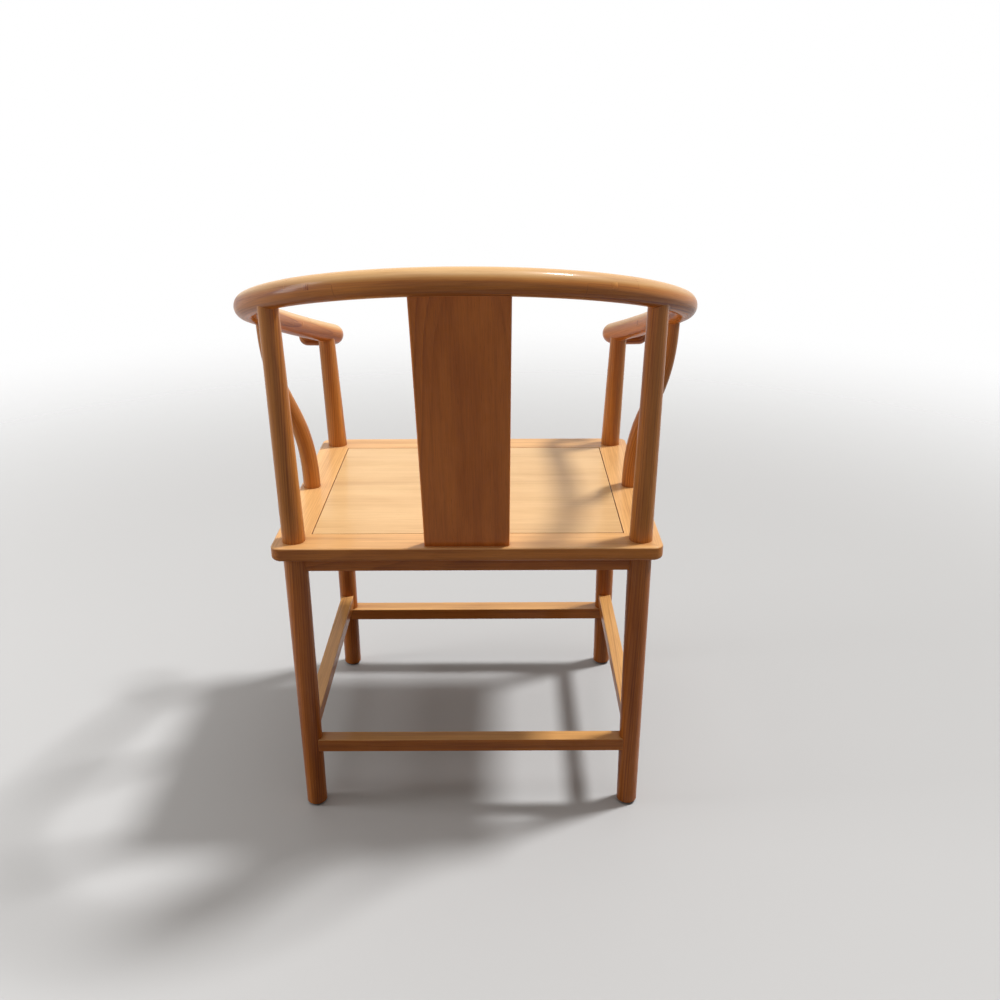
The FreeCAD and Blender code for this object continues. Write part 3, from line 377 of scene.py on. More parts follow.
# %% [markdown]
# ## Straight and turned pieces
# Legs, stretchers, aprons, the seat frame with its panel and the battens under it are right as
# drawn, so only their material changes. The grain runs up the legs, along every bar and frame
# member, and from side to side on the panel. The heart of each log is set well to one side, because
# boards for a chair are sawn to show calm, straight lines. Each piece starts at another place in
# the log, so no two show the same lines. The battens, which nobody sees, are only oiled.

# %% Wood for the drawn pieces
ACROSS, DEEP, UPRIGHT = (1, 0, 0), (0, 1, 0), (0, 0, 1)
GRAIN = {
    ACROSS: ["seat_frame_back", "seat_frame_front", "seat_panel", "apron_back", "apron_front",
             "stretcher_back", "stretcher_front"],
    DEEP: ["seat_frame_left", "seat_frame_right", "panel_batten_left", "panel_batten_right",
           "apron_left", "apron_right", "stretcher_left", "stretcher_right"],
    UPRIGHT: ["rear_leg_left", "rear_leg_right", "front_leg_left", "front_leg_right"],
}
NEXT_PLANK = 0.73


def board_for(name):
    """The kind of wood that a maker would pick for a piece."""
    if name == "seat_panel":
        return "panel"
    return "frame" if "frame" in name else "leg"


planks = [(name, along) for along, names in GRAIN.items() for name in names]
for count, (name, along) in enumerate(planks, start=1):
    low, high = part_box(name)
    heart = ((90 + 11 * (count % 5)) * MM, (20 - 9 * (count % 4)) * MM)
    kind = board_for(name)
    # The panel gets the strongest painted top light; legs get painted shade below the seat.
    frame["nodes"][name].material_slots[0].material = lacquer(
        name + "_wood", straight_plank(along, (low + high) / 2, heart, NEXT_PLANK * count), kind,
        coat=OILED_COAT if "batten" in name else SATIN_COAT,
        top_light_gamma=STRONGEST_PAINTED_TOP_LIGHT if kind == "panel" else PAINTED_TOP_LIGHT, upright=along == UPRIGHT)
print("planks cut for drawn pieces:", len(planks))

# %% [markdown]
# ## The rail's rule
# The rail is one round bar that sweeps from hand to hand: a wide bend behind the sitter, a tighter
# one at each shoulder, a slow one along each arm and a small curl outward at the hand. All of it
# lies in one plane that slopes up to the back. It could be traced as a curve point by point, but a
# few radii and turns describe it exactly. The group below turns a distance along the rail, measured
# from its middle, into a place in the room. Each bend moves the place by its radius times the
# change in the heading's sine and cosine, so a chain of bends is a sum.

# %% Trees with named sizes
SOCKET_KINDS = {bool: "Bool", int: "Int", float: "Float", tuple: "Vector", type(None): "Material"}


def sized_tree(name, sizes):
    """A Geometry Nodes tree with named inputs. A size of None stands for a material."""
    tree = bpy.data.node_groups.new(name, "GeometryNodeTree")
    for label, value in sizes.items():
        kind = "NodeSocket" + SOCKET_KINDS[type(value)]
        socket = tree.interface.new_socket(label, in_out="INPUT", socket_type=kind)
        if value is not None:
            socket.default_value = value
    return tree, put(tree, "NodeGroupInput").outputs


print("a tree's inputs can be:", ", ".join(SOCKET_KINDS.values()))

# %% The rail's bends
# Each bend is a radius in millimetres and a turn in degrees. The hand turns the other way.
RAIL_BENDS = {
    "Crest": (306.0, 63.0),
    "Shoulder": (160.0, 31.5),
    "Arm": (1330.0, 12.9),
    "Hand": (-30.0, 118.0),
}
HAND_TIP = 27 * MM
RAIL_MIDDLE = (0.0, 277 * MM, 791 * MM)
RAIL_SLOPE = math.radians(18.64)
RAIL_SIZES = {"Distance": 0.0, "Out": 0.0, "Up": 0.0, "Slope": RAIL_SLOPE, "Middle": RAIL_MIDDLE}
for bend, (radius, turn) in RAIL_BENDS.items():
    RAIL_SIZES[bend + " radius"] = radius * MM
    RAIL_SIZES[bend + " turn"] = math.radians(turn)
BEND_LENGTHS = [abs(radius) * MM * math.radians(turn) for radius, turn in RAIL_BENDS.values()]
SHOULDER_END = sum(BEND_LENGTHS[:2])
RAIL_END = sum(BEND_LENGTHS) + HAND_TIP
print("half the rail is", round(RAIL_END, 4), "m long")


# %% A place on the rail
def make_rail_rule():
    tree, given = sized_tree("rail rule", RAIL_SIZES)
    gone = calc(tree, "ABSOLUTE", given["Distance"])
    across = back = here = start = before = 0.0
    for bend in RAIL_BENDS:
        radius, turn = given[bend + " radius"], given[bend + " turn"]
        length = calc(tree, "MULTIPLY", calc(tree, "ABSOLUTE", radius), turn)
        left = calc(tree, "MAXIMUM", calc(tree, "SUBTRACT", gone, before), 0.0)
        turned = calc(tree, "DIVIDE", calc(tree, "MINIMUM", left, length), radius)
        heading = calc(tree, "ADD", start, turned)
        sine = calc(tree, "SUBTRACT", calc(tree, "SINE", heading), calc(tree, "SINE", start))
        cosine = calc(tree, "SUBTRACT", calc(tree, "COSINE", heading), calc(tree, "COSINE", start))
        across = calc(tree, "MULTIPLY_ADD", radius, sine, across)
        back = calc(tree, "MULTIPLY_ADD", radius, cosine, back)
        here = calc(tree, "ADD", here, turned)
        start = calc(tree, "ADD", start, calc(tree, "DIVIDE", length, radius))
        before = calc(tree, "ADD", before, length)
    tip = calc(tree, "MAXIMUM", calc(tree, "SUBTRACT", gone, before), 0.0)
    across = calc(tree, "MULTIPLY_ADD", tip, calc(tree, "COSINE", start), across)
    back = calc(tree, "SUBTRACT", back, calc(tree, "MULTIPLY", tip, calc(tree, "SINE", start)))
    across = calc(tree, "MULTIPLY_ADD", given["Out"], calc(tree, "SINE", here), across)
    back = calc(tree, "MULTIPLY_ADD", given["Out"], calc(tree, "COSINE", here), back)
    across = calc(tree, "MULTIPLY", across, calc(tree, "SIGN", given["Distance"]))

    # Tilt the flat rail into the room.
    flat = calc(tree, "COSINE", given["Slope"])
    lift = calc(tree, "SINE", given["Slope"])
    leaned = calc(tree, "MULTIPLY", given["Up"], lift)
    room_y = calc(tree, "SUBTRACT", calc(tree, "MULTIPLY", back, flat), leaned)
    room_z = calc(tree, "MULTIPLY_ADD", back, lift, calc(tree, "MULTIPLY", given["Up"], flat))
    spot = put(tree, "ShaderNodeCombineXYZ", {0: across, 1: room_y, 2: room_z}).outputs[0]
    tree.interface.new_socket("Place", in_out="OUTPUT", socket_type="NodeSocketVector")
    put(tree, "NodeGroupOutput", {"Place": vector_calc(tree, "ADD", spot, given["Middle"])})
    return tree


rail_rule = make_rail_rule()
print("rail rule:", len(rail_rule.nodes), "nodes")

# %% [markdown]
# ## Rail lengths
# No plank is wide enough for the whole rail, so it is made of five lengths. At each joint both ends
# are cut to half their thickness, one lies on the other, and a wedge pin is driven through. Curve
# to Mesh could make the round bar, but the rule gives more: an upright unit cylinder is bent along
# the rail by Set Position, its hand end is rounded by drawing in the last rings, and the halved
# ends are cut with slices that follow the same rule. Every point keeps its distance along the rail
# as the grain attribute, so the lines run round the bends. The cuts stop a hair short of each
# other, which leaves the fine line of a glued joint.

# %% Places and grain
def unit_place(tree):
    """The x, y and z of a point of the unit shape that is about to be bent."""
    return xyz(tree, put(tree, "GeometryNodeInputPosition").outputs[0])


def between(tree, low, high, unit):
    """A number from low to high for a unit that goes from -0.5 to 0.5."""
    span = calc(tree, "SUBTRACT", high, low)
    return calc(tree, "MULTIPLY_ADD", span, calc(tree, "ADD", unit, 0.5), low)


def note_grain(tree, shape, along, out, up):
    """Keep each point's place in the log as the grain attribute."""
    grain = put(tree, "ShaderNodeCombineXYZ", {0: along, 1: out, 2: up}).outputs[0]
    return put(tree, "GeometryNodeStoreNamedAttribute", {
        "Geometry": shape, "Name": "grain", "Value": grain}, data_type="FLOAT_VECTOR").outputs[0]


def along_rail(tree, shape, distance, out, up, grain_out=False):
    """Move the points of a shape to their places along the rail, and note the grain."""
    grain = (out, distance, up) if grain_out else (distance, out, up)
    shape = note_grain(tree, shape, *grain)
    rule = put(tree, "GeometryNodeGroup", {"Distance": distance, "Out": out, "Up": up}, node_tree=rail_rule)
    return put(tree, "GeometryNodeSetPosition", {
        "Geometry": shape, "Position": rule.outputs[0]}).outputs[0]


print("the grain attribute holds the distance along, out and up")

# %% Cuts, and the end of a tree
SHARP_EDGE = math.radians(35)


def carve(tree, shape, *cutters):
    """Take the cutters away from a shape."""
    node = put(tree, "GeometryNodeMeshBoolean", {"Mesh 1": shape}, operation="DIFFERENCE", solver="MANIFOLD")
    for cutter in cutters:
        tree.links.new(cutter, node.inputs["Mesh 2"])
    return node.outputs[0]


def hand_out(tree, shape, finish):
    """Smooth all but the sharp edges, realise, set the finish and end the tree."""
    shape = put(tree, "GeometryNodeSetShadeSmooth", {
        "Geometry": shape, "Shade Smooth": True}).outputs[0]
    angle = put(tree, "GeometryNodeInputMeshEdgeAngle").outputs[0]
    sharp = calc(tree, "GREATER_THAN", angle, SHARP_EDGE)
    shape = put(tree, "GeometryNodeSetShadeSmooth", {
        "Geometry": shape, "Selection": sharp, "Shade Smooth": False}, domain="EDGE").outputs[0]
    shape = put(tree, "GeometryNodeRealizeInstances", {0: shape}).outputs[0]
    shape = put(tree, "GeometryNodeSetMaterial", {"Geometry": shape, "Material": finish}).outputs[0]
    tree.interface.new_socket("Shape", in_out="OUTPUT", socket_type="NodeSocketGeometry")
    put(tree, "NodeGroupOutput", {0: shape})
    print(tree.name, "tree:", len(tree.nodes), "nodes")
    return tree


print("edges stay sharp above", round(math.degrees(SHARP_EDGE)), "degrees")


# %% From a tree to a piece
def add_object(name, data):
    """A new object in the scene."""
    thing = bpy.data.objects.new(name, data)
    bpy.context.collection.objects.link(thing)
    return thing


def grow(tree, name, sizes, node):
    """Run a tree with these sizes, keep the result as a plain mesh, and let it stand for a node."""
    seed = add_object("seed", bpy.data.meshes.new("seed"))
    modifier = seed.modifiers.new("shape", "NODES")
    modifier.node_group = tree
    for socket in tree.interface.items_tree:
        if socket.in_out == "INPUT" and socket.name in sizes:
            modifier[socket.identifier] = sizes[socket.name]
    graph = bpy.context.evaluated_depsgraph_get()
    mesh = bpy.data.meshes.new_from_object(seed.evaluated_get(graph))
    mesh.name = name
    seed.modifiers.clear()
    bpy.data.objects.remove(seed)
    while mesh.materials[0] is None:
        mesh.materials.pop(index=0)
    piece = add_object(name, mesh)
    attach(piece, "root")
    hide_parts(node)
    print(name, "has", len(mesh.polygons), "faces")
    return piece


# %% The round bar
RAIL_RADIUS = 16 * MM
BAR_SIDES = 64


def rounded_bar(tree, given):
    """The round bar, with its ends drawn in by their rounding."""
    x, y, z = unit_place(tree)
    bar = put(tree, "GeometryNodeMeshCylinder", {
        "Vertices": BAR_SIDES, "Side Segments": given["Rings"], "Radius": 1.0, "Depth": 1.0}).outputs[0]
    bar = put(tree, "GeometryNodeTransform", {
        "Geometry": bar, "Rotation": (0, 0, math.pi / BAR_SIDES)}).outputs[0]
    moved = distance = between(tree, given["Start"], given["End"], z)
    radius = given["Rail radius"]
    for name, sign in (("Start", -1.0), ("End", 1.0)):
        curve = given[name + " round"]
        left = calc(tree, "MULTIPLY", calc(tree, "SUBTRACT", given[name], distance), sign)
        share = calc(tree, "SUBTRACT", 1.0, calc(tree, "DIVIDE", left, curve))
        share = calc(tree, "MAXIMUM", share, 0.0)
        turn = calc(tree, "MULTIPLY", share, math.pi / 2)
        slip = calc(tree, "MULTIPLY", curve, calc(tree, "SUBTRACT", calc(tree, "SINE", turn), share))
        moved = calc(tree, "MULTIPLY_ADD", slip, sign, moved)
        drawn_in = calc(tree, "MULTIPLY", curve, calc(tree, "SUBTRACT", 1.0, calc(tree, "COSINE", turn)))
        radius = calc(tree, "SUBTRACT", radius, drawn_in)
    out = calc(tree, "MULTIPLY", radius, x)
    return along_rail(tree, bar, moved, out, calc(tree, "MULTIPLY", radius, y))


print("the rail is", round(2 * RAIL_RADIUS / MM), "mm thick")

# %% Laps and pins
HAIR = 0.03 * MM
SLICE_WIDE, SLICE_TALL = 60 * MM, 30 * MM
PIN_CROWN = 0.3 * MM
PIN_SIZES = {"Rail radius": RAIL_RADIUS, "Pin thin": 6.17 * MM, "Pin wide": 7.83 * MM, "Wood": None}


def lap_slice(tree, given, name):
    """A slice above the rail's middle for a side of 1, or below it for a side of -1."""
    x, y, z = unit_place(tree)
    block = put(tree, "GeometryNodeMeshCube", {
        "Vertices X": 2, "Vertices Y": 2, "Vertices Z": 30}).outputs[0]
    distance = between(tree, given[name + " from"], given[name + " to"], z)
    side = given[name + " side"]
    up = calc(tree, "MULTIPLY", calc(tree, "MULTIPLY_ADD", side, 0.5, y), SLICE_TALL)
    up = calc(tree, "MULTIPLY_ADD", side, -0.5 * HAIR, up)
    return along_rail(tree, block, distance, calc(tree, "MULTIPLY", x, SLICE_WIDE), up)


def wedge_pin(tree, given, distance, spare, proud):
    """A square pin across the rail, thinner towards the sitter, with ends that follow the rail."""
    x, y, z = unit_place(tree)
    block = put(tree, "GeometryNodeMeshCube", {
        "Vertices X": 9, "Vertices Y": 9, "Vertices Z": 3}).outputs[0]
    side = calc(tree, "ADD", between(tree, given["Pin thin"], given["Pin wide"], z), spare)
    along = calc(tree, "MULTIPLY", y, side)
    up = calc(tree, "MULTIPLY", x, side)
    edge = calc(tree, "MULTIPLY_ADD", x, x, calc(tree, "MULTIPLY", y, y))
    crown = calc(tree, "MULTIPLY_ADD", edge, -PIN_CROWN, proud)
    radius = calc(tree, "ADD", given["Rail radius"], crown)
    flat = calc(tree, "SUBTRACT", calc(tree, "MULTIPLY", radius, radius), calc(tree, "MULTIPLY", up, up))
    out = calc(tree, "MULTIPLY", calc(tree, "SQRT", flat), calc(tree, "MULTIPLY", z, 2.0))
    return along_rail(tree, block, calc(tree, "ADD", distance, along), out, up, grain_out=True)


print("joints are open by", round(HAIR / MM, 3), "mm")

# %% A tree for one length of the rail
LAPS = ("First lap", "Second lap")
EASED_END = 0.1 * MM


def make_rail_tree():
    sizes = {"Start": 0.0, "End": 0.1, "Start round": EASED_END, "End round": EASED_END,
             "Rings": 100, "Second lap": True} | PIN_SIZES
    for name in LAPS:
        sizes |= {name + " from": 0.0, name + " to": 0.1, name + " side": 1.0, name + " pin": 0.05}
    tree, given = sized_tree("rail length", sizes)
    laps = [lap_slice(tree, given, name) for name in LAPS]
    pins = [wedge_pin(tree, given, given[name + " pin"], spare=HAIR, proud=3 * MM) for name in LAPS]
    shape = rounded_bar(tree, given)
    for first, second in (laps, pins):
        second = put(tree, "GeometryNodeSwitch", {"Switch": given["Second lap"], "True": second})
        shape = carve(tree, shape, first, second.outputs[0])
    return hand_out(tree, shape, given["Wood"])


rail_tree = make_rail_tree()

# %% The five lengths of the rail
LAP = 35 * MM
SPARE = 8 * MM
HAND_ROUND = 14.5 * MM
CREST_JOINT = RAIL_SIZES["Crest radius"] * math.radians(33)
ARM_JOINT = SHOULDER_END + RAIL_SIZES["Arm radius"] * math.radians(6.8)


def rail_length(name, node, start, end, laps, rings, hand_end=None):
    """One length. Each lap is (from, to, side, pin): 1 cuts away the upper half, -1 the lower."""
    plank = bent_plank(heart=(100 * MM, 14 * MM), start=0.0)
    # The rail's finish has the strongest painted top light and only a little edge wear and highlight.
    sizes = {"Start": min(start, end), "End": max(start, end), "Rings": rings, "Second lap": len(laps) > 1,
             "Wood": lacquer(node + "_wood", plank, "rail", edge_wear_and_highlight=0.08, top_light_gamma=STRONGEST_PAINTED_TOP_LIGHT)}
    for label, (low, high, side, pin) in zip(LAPS, laps):
        sizes |= {label + " from": min(low, high), label + " to": max(low, high),
                  label + " side": float(side), label + " pin": pin}
    if hand_end:
        sizes[hand_end + " round"] = HAND_ROUND
    return grow(rail_tree, name, sizes, node)


inner, outer = CREST_JOINT - LAP + HAIR, CREST_JOINT + LAP - HAIR
fore, rear = ARM_JOINT + LAP - HAIR, ARM_JOINT - LAP + HAIR
rail_length("bent_crest", "rail_crest", -outer, outer, [
    (-outer - SPARE, -inner, -1, -CREST_JOINT), (inner, outer + SPARE, -1, CREST_JOINT)], rings=190)
for hand, side in (("left", 1), ("right", -1)):
    rail_length("bent_shoulder_" + hand, "rail_shoulder_" + hand, side * inner, side * fore, [
        (side * (inner - SPARE), side * outer, 1, side * CREST_JOINT),
        (side * rear, side * (fore + SPARE), -1, side * ARM_JOINT)], rings=215)
    rail_length("bent_arm_" + hand, "rail_arm_" + hand, side * rear, side * RAIL_END, [
        (side * (rear - SPARE), side * fore, 1, side * ARM_JOINT)],
        rings=240, hand_end="End" if side > 0 else "Start")

# %% [markdown]
# ## Wedge pins
# A square pin of hard wood goes through the middle of each lap. It is thicker outside than inside,
# so driving it in from the back wedges the joint tight. The same shape, a hair larger, has already
# cut its hole in the rail. Its grain runs along the pin, so the end that shows is end grain, and a
# little of it stands proud of the rail, as a pin does after a few dry winters.

# %% The four pins
def make_pin_tree():
    tree, given = sized_tree("wedge pins", {"Crest joint": 0.0, "Arm joint": 0.0} | PIN_SIZES)
    pins = put(tree, "GeometryNodeJoinGeometry")
    for joint in ("Crest joint", "Arm joint"):
        for side in (1.0, -1.0):
            distance = calc(tree, "MULTIPLY", given[joint], side)
            pin = wedge_pin(tree, given, distance, spare=0.0, proud=0.20 * MM)
            tree.links.new(pin, pins.inputs[0])
    return hand_out(tree, pins.outputs[0], given["Wood"])


pin_plank = bent_plank(heart=(90 * MM, 20 * MM), start=3.1)
grow(make_pin_tree(), "driven_pins", {
    "Crest joint": CREST_JOINT, "Arm joint": ARM_JOINT,
    "Wood": lacquer("rail_wedge_pins_wood", pin_plank, "rail", edge_wear_and_highlight=0.15),
}, "rail_wedge_pins")

# %% [markdown]
# ## Side braces
# Each arm is held up by a slim S-shaped brace that leaves the seat upright and meets the rail
# upright. A Bezier Segment with its handles straight up and straight down is such an S. Curve to
# Mesh sweeps a circle along it that gets thinner towards the top. A short length of the rail, made
# by the same rule, hollows the head of the brace to fit, as a maker scribes it with a gouge.

# %% Sticks, and a gouge to fit them
def rail_tube(tree, given):
    """A plain length of the round rail, for hollowing out what meets it."""
    x, y, z = unit_place(tree)
    tube = put(tree, "GeometryNodeMeshCylinder", {
        "Vertices": 96, "Side Segments": 40, "Radius": 1.0, "Depth": 1.0}).outputs[0]
    radius = given["Rail radius"]
    return along_rail(tree, tube, between(tree, given["Rail from"], given["Rail to"], z),
                      calc(tree, "MULTIPLY", radius, x), calc(tree, "MULTIPLY", radius, y))


def swept_stick(tree, path, foot_radius, head_radius):
    """A round stick along a path, with its grain noted."""
    run = put(tree, "GeometryNodeSplineParameter").outputs
    path = put(tree, "GeometryNodeStoreNamedAttribute", {
        "Geometry": path, "Name": "along", "Value": run["Length"]}).outputs[0]
    ring = put(tree, "GeometryNodeCurvePrimitiveCircle", {"Resolution": 48, "Radius": 1.0}).outputs[0]
    on_ring = put(tree, "GeometryNodeInputPosition").outputs[0]
    ring = put(tree, "GeometryNodeStoreNamedAttribute", {
        "Geometry": ring, "Name": "around", "Value": on_ring}, data_type="FLOAT_VECTOR").outputs[0]
    radius = between(tree, foot_radius, head_radius, calc(tree, "SUBTRACT", run["Factor"], 0.5))
    stick = put(tree, "GeometryNodeCurveToMesh", {
        "Curve": path, "Profile Curve": ring, "Scale": radius, "Fill Caps": True}).outputs[0]
    along = put(tree, "GeometryNodeInputNamedAttribute", {"Name": "along"}).outputs[0]
    around = put(tree, "GeometryNodeInputNamedAttribute", {"Name": "around"}, data_type="FLOAT_VECTOR")
    out, up, _ = xyz(tree, around.outputs[0])
    return note_grain(tree, stick, along, calc(tree, "MULTIPLY", out, foot_radius),
                      calc(tree, "MULTIPLY", up, foot_radius))


print("the gouge has the rail's radius,", round(RAIL_RADIUS / MM), "mm")


# %% A tree for a brace
def make_brace_tree():
    tree, given = sized_tree("side brace", {
        "Foot": (0.0, 0.0, 0.0), "Head": (0.0, 0.0, 0.3), "Handle": 139.4 * MM,
        "Foot radius": 12.8 * MM, "Head radius": 10 * MM,
        "Rail from": 0.0, "Rail to": 0.1, "Rail radius": RAIL_RADIUS, "Wood": None})
    rise = put(tree, "ShaderNodeCombineXYZ", {2: given["Handle"]}).outputs[0]
    path = put(tree, "GeometryNodeCurvePrimitiveBezierSegment", {
        "Resolution": 90, "Start": given["Foot"], "End": given["Head"],
        "Start Handle": vector_calc(tree, "ADD", given["Foot"], rise),
        "End Handle": vector_calc(tree, "SUBTRACT", given["Head"], rise)})
    stick = swept_stick(tree, path.outputs[0], given["Foot radius"], given["Head radius"])
    return hand_out(tree, carve(tree, stick, rail_tube(tree, given)), given["Wood"])


brace_tree = make_brace_tree()

# %% The two braces
BRACE_FOOT = (242 * MM, -28 * MM, SEAT_TOP)
BRACE_HEAD = (286.1 * MM, 2 * MM, 698.2 * MM)
BRACE_AT = SHOULDER_END + 38 * MM
GOUGE_REACH = 50 * MM


def on_side(place, side):
    """A place at the sitter's left, or its mirror image for a side of -1."""
    return (side * place[0], place[1], place[2])


for hand, side in (("left", 1), ("right", -1)):
    low, high = sorted((side * (BRACE_AT - GOUGE_REACH), side * (BRACE_AT + GOUGE_REACH)))
    # Braces get the painted light and shade of upright pieces.
    plank = bent_plank(heart=(88 * MM, 12 * MM * side), start=9.3 + side)
    grow(brace_tree, "bent_brace_" + hand, {
        "Foot": on_side(BRACE_FOOT, side), "Head": on_side(BRACE_HEAD, side),
        "Rail from": low, "Rail to": high,
        "Wood": lacquer("side_brace_%s_wood" % hand, plank, "leg", upright=True),
    }, "side_brace_" + hand)

# %% [markdown]
# ## Back splat
# The splat is a thin, slightly bowed board that leans back from the seat to the rail and is a
# little wider at the top. Its section is a rectangle with rounded corners. Fillet Curve makes that
# outline, an arc through three points makes the bow, and Curve to Mesh sweeps one along the other.
# The board is cut through the middle of a log, so its face shows a broad, calm figure.

# %% A tree for the splat
SPLAT_FOOT = Vector((0.0, 183 * MM, SEAT_TOP))
SPLAT_HEAD = Vector(RAIL_MIDDLE)
SPLAT_BOW = 4 * MM
splat_rise = (SPLAT_HEAD - SPLAT_FOOT).normalized()
splat_middle = (SPLAT_FOOT + SPLAT_HEAD) / 2
bowed_middle = splat_middle + SPLAT_BOW * Vector(ACROSS).cross(splat_rise)


def make_splat_tree():
    tree, given = sized_tree("back splat", {
        "Foot": tuple(SPLAT_FOOT), "Middle": tuple(bowed_middle), "Head": tuple(SPLAT_HEAD),
        "Foot width": 112.6 * MM, "Head width": 116.6 * MM, "Thickness": 14 * MM, "Edge round": 3 * MM,
        "Rail from": -90 * MM, "Rail to": 90 * MM, "Rail radius": RAIL_RADIUS, "Wood": None})
    path = put(tree, "GeometryNodeCurveArc", {
        "Resolution": 80, "Start": given["Foot"], "Middle": given["Middle"], "End": given["Head"],
    }, mode="POINTS").outputs[0]
    path = put(tree, "GeometryNodeSetCurveNormal", {0: path}, mode="Z_UP").outputs[0]
    section = put(tree, "GeometryNodeCurvePrimitiveQuadrilateral", {
        "Width": given["Head width"], "Height": given["Thickness"]}, mode="RECTANGLE").outputs[0]
    section = put(tree, "GeometryNodeFilletCurve", {
        "Curve": section, "Count": 7, "Radius": given["Edge round"]}, mode="POLY").outputs[0]
    share = put(tree, "GeometryNodeSplineParameter").outputs["Factor"]
    narrow = calc(tree, "DIVIDE", given["Foot width"], given["Head width"])
    board = put(tree, "GeometryNodeCurveToMesh", {
        "Curve": path, "Profile Curve": section, "Fill Caps": True,
        "Scale": between(tree, narrow, 1.0, calc(tree, "SUBTRACT", share, 0.5))}).outputs[0]
    return hand_out(tree, carve(tree, board, rail_tube(tree, given)), given["Wood"])


splat_plank = straight_plank(splat_rise, splat_middle, heart=(12 * MM, 100 * MM), start=4.4)
grow(make_splat_tree(), "bowed_splat", {"Wood": lacquer("back_splat_wood", splat_plank, "splat")},
     "back_splat")

# %% [markdown]
# ## Foot pads
# A thin felt pad under each foot keeps the chair from scratching the floor. All four are alike, so
# one pad is shaped and then set on the four corners of a Mesh Grid as wide and deep as the feet
# stand apart, which the drawing's record says. The rim is rounded by drawing in the outer rings.
# Felt is matted wool: dark, dull and a little fuzzy, so its material has a fine noise in colour and
# height, and some sheen.

# %% Felt
DARK_WOOL, PALE_WOOL = srgb(38, 33, 30), srgb(74, 66, 60)


def make_felt():
    material, tree = new_material("pad_felt")
    spot = on_object(tree)
    wool = put(tree, "ShaderNodeTexNoise", {"Vector": spot, "Scale": 900.0, "Detail": 4.0}).outputs[0]
    tuft = put(tree, "ShaderNodeTexNoise", {"Vector": spot, "Scale": 160.0, "Detail": 2.0}).outputs[0]
    shade = calc(tree, "MULTIPLY_ADD", tuft, 0.5, calc(tree, "MULTIPLY", wool, 0.5))
    colour = mixed(tree, ranged(tree, shade, low=0.35, high=0.65), DARK_WOOL, PALE_WOOL)
    nap = put(tree, "ShaderNodeBump", {
        "Height": shade, "Strength": 0.6, "Distance": 0.4 * MM}).outputs[0]
    cloth = put(tree, "ShaderNodeBsdfPrincipled", {
        "Base Color": colour, "Roughness": calc(tree, "MULTIPLY_ADD", wool, 0.12, 0.84), "Normal": nap,
        "Sheen Weight": 0.4, "Specular IOR Level": 0.2})
    put(tree, "ShaderNodeOutputMaterial", {"Surface": cloth.outputs[0]})
    return material


felt = make_felt()
print("felt:", len(felt.node_tree.nodes), "nodes")

# %% A tree for the four pads
PAD_HEIGHT = 3 * MM
feet = {mount["name"]: Vector(mount["pos_m"]) for mount in frame["record"]["mounts"]}
feet_apart = feet["foot_rear_left"] - feet["foot_front_right"]
feet_middle = (feet["foot_rear_left"] + feet["foot_front_right"]) / 2


def make_pad_tree():
    tree, given = sized_tree("foot pads", {
        "Across": feet_apart.x, "Deep": feet_apart.y,
        "Middle": (feet_middle.x, feet_middle.y, PAD_HEIGHT / 2),
        "Pad radius": 11 * MM, "Pad height": PAD_HEIGHT, "Rim round": 1 * MM, "Felt": None})
    x, y, z = unit_place(tree)
    rim, height = given["Rim round"], given["Pad height"]
    pad = put(tree, "GeometryNodeMeshCylinder", {
        "Vertices": 48, "Side Segments": 12, "Fill Segments": 4, "Radius": 1.0, "Depth": 1.0}).outputs[0]
    flat = calc(tree, "SUBTRACT", calc(tree, "MULTIPLY", height, 0.5), rim)
    past = calc(tree, "SUBTRACT", calc(tree, "MULTIPLY", calc(tree, "ABSOLUTE", z), height), flat)
    past = calc(tree, "DIVIDE", calc(tree, "MAXIMUM", past, 0.0), rim)
    bow = calc(tree, "SQRT", calc(tree, "SUBTRACT", 1.0, calc(tree, "MULTIPLY", past, past)))
    drawn_in = calc(tree, "MULTIPLY", rim, calc(tree, "SUBTRACT", 1.0, bow))
    radius = calc(tree, "SUBTRACT", given["Pad radius"], drawn_in)
    place = put(tree, "ShaderNodeCombineXYZ", {
        0: calc(tree, "MULTIPLY", x, radius), 1: calc(tree, "MULTIPLY", y, radius),
        2: calc(tree, "MULTIPLY", z, height)}).outputs[0]
    pad = put(tree, "GeometryNodeSetPosition", {"Geometry": pad, "Position": place}).outputs[0]
    spots = put(tree, "GeometryNodeMeshGrid", {
        "Size X": given["Across"], "Size Y": given["Deep"], "Vertices X": 2, "Vertices Y": 2}).outputs[0]
    spots = put(tree, "GeometryNodeTransform", {
        "Geometry": spots, "Translation": given["Middle"]}).outputs[0]
    pads = put(tree, "GeometryNodeInstanceOnPoints", {"Points": spots, "Instance": pad}).outputs[0]
    return hand_out(tree, pads, given["Felt"])


grow(make_pad_tree(), "felt_pads", {"Felt": felt}, "foot_glides")

# %% [markdown]
# ## Camera
# The chair is seen from behind, from a little above its top rail and slightly to the sitter's
# right. The camera stands close, so the feet are drawn nearer together than the rail is wide. Its
# place and lens were worked out from the corners of the seat and the feet. A matrix made of the
# camera's right, up and back directions sets it exactly, with no tracking constraint.

# %% Camera
CAMERA_PLACE = (-0.04395, 1.36228, 0.97945)
LOOK_DOWN, LEAN = math.radians(22.427), -0.0039
SENSOR = 36.0
LENS_SHARE = 0.98088

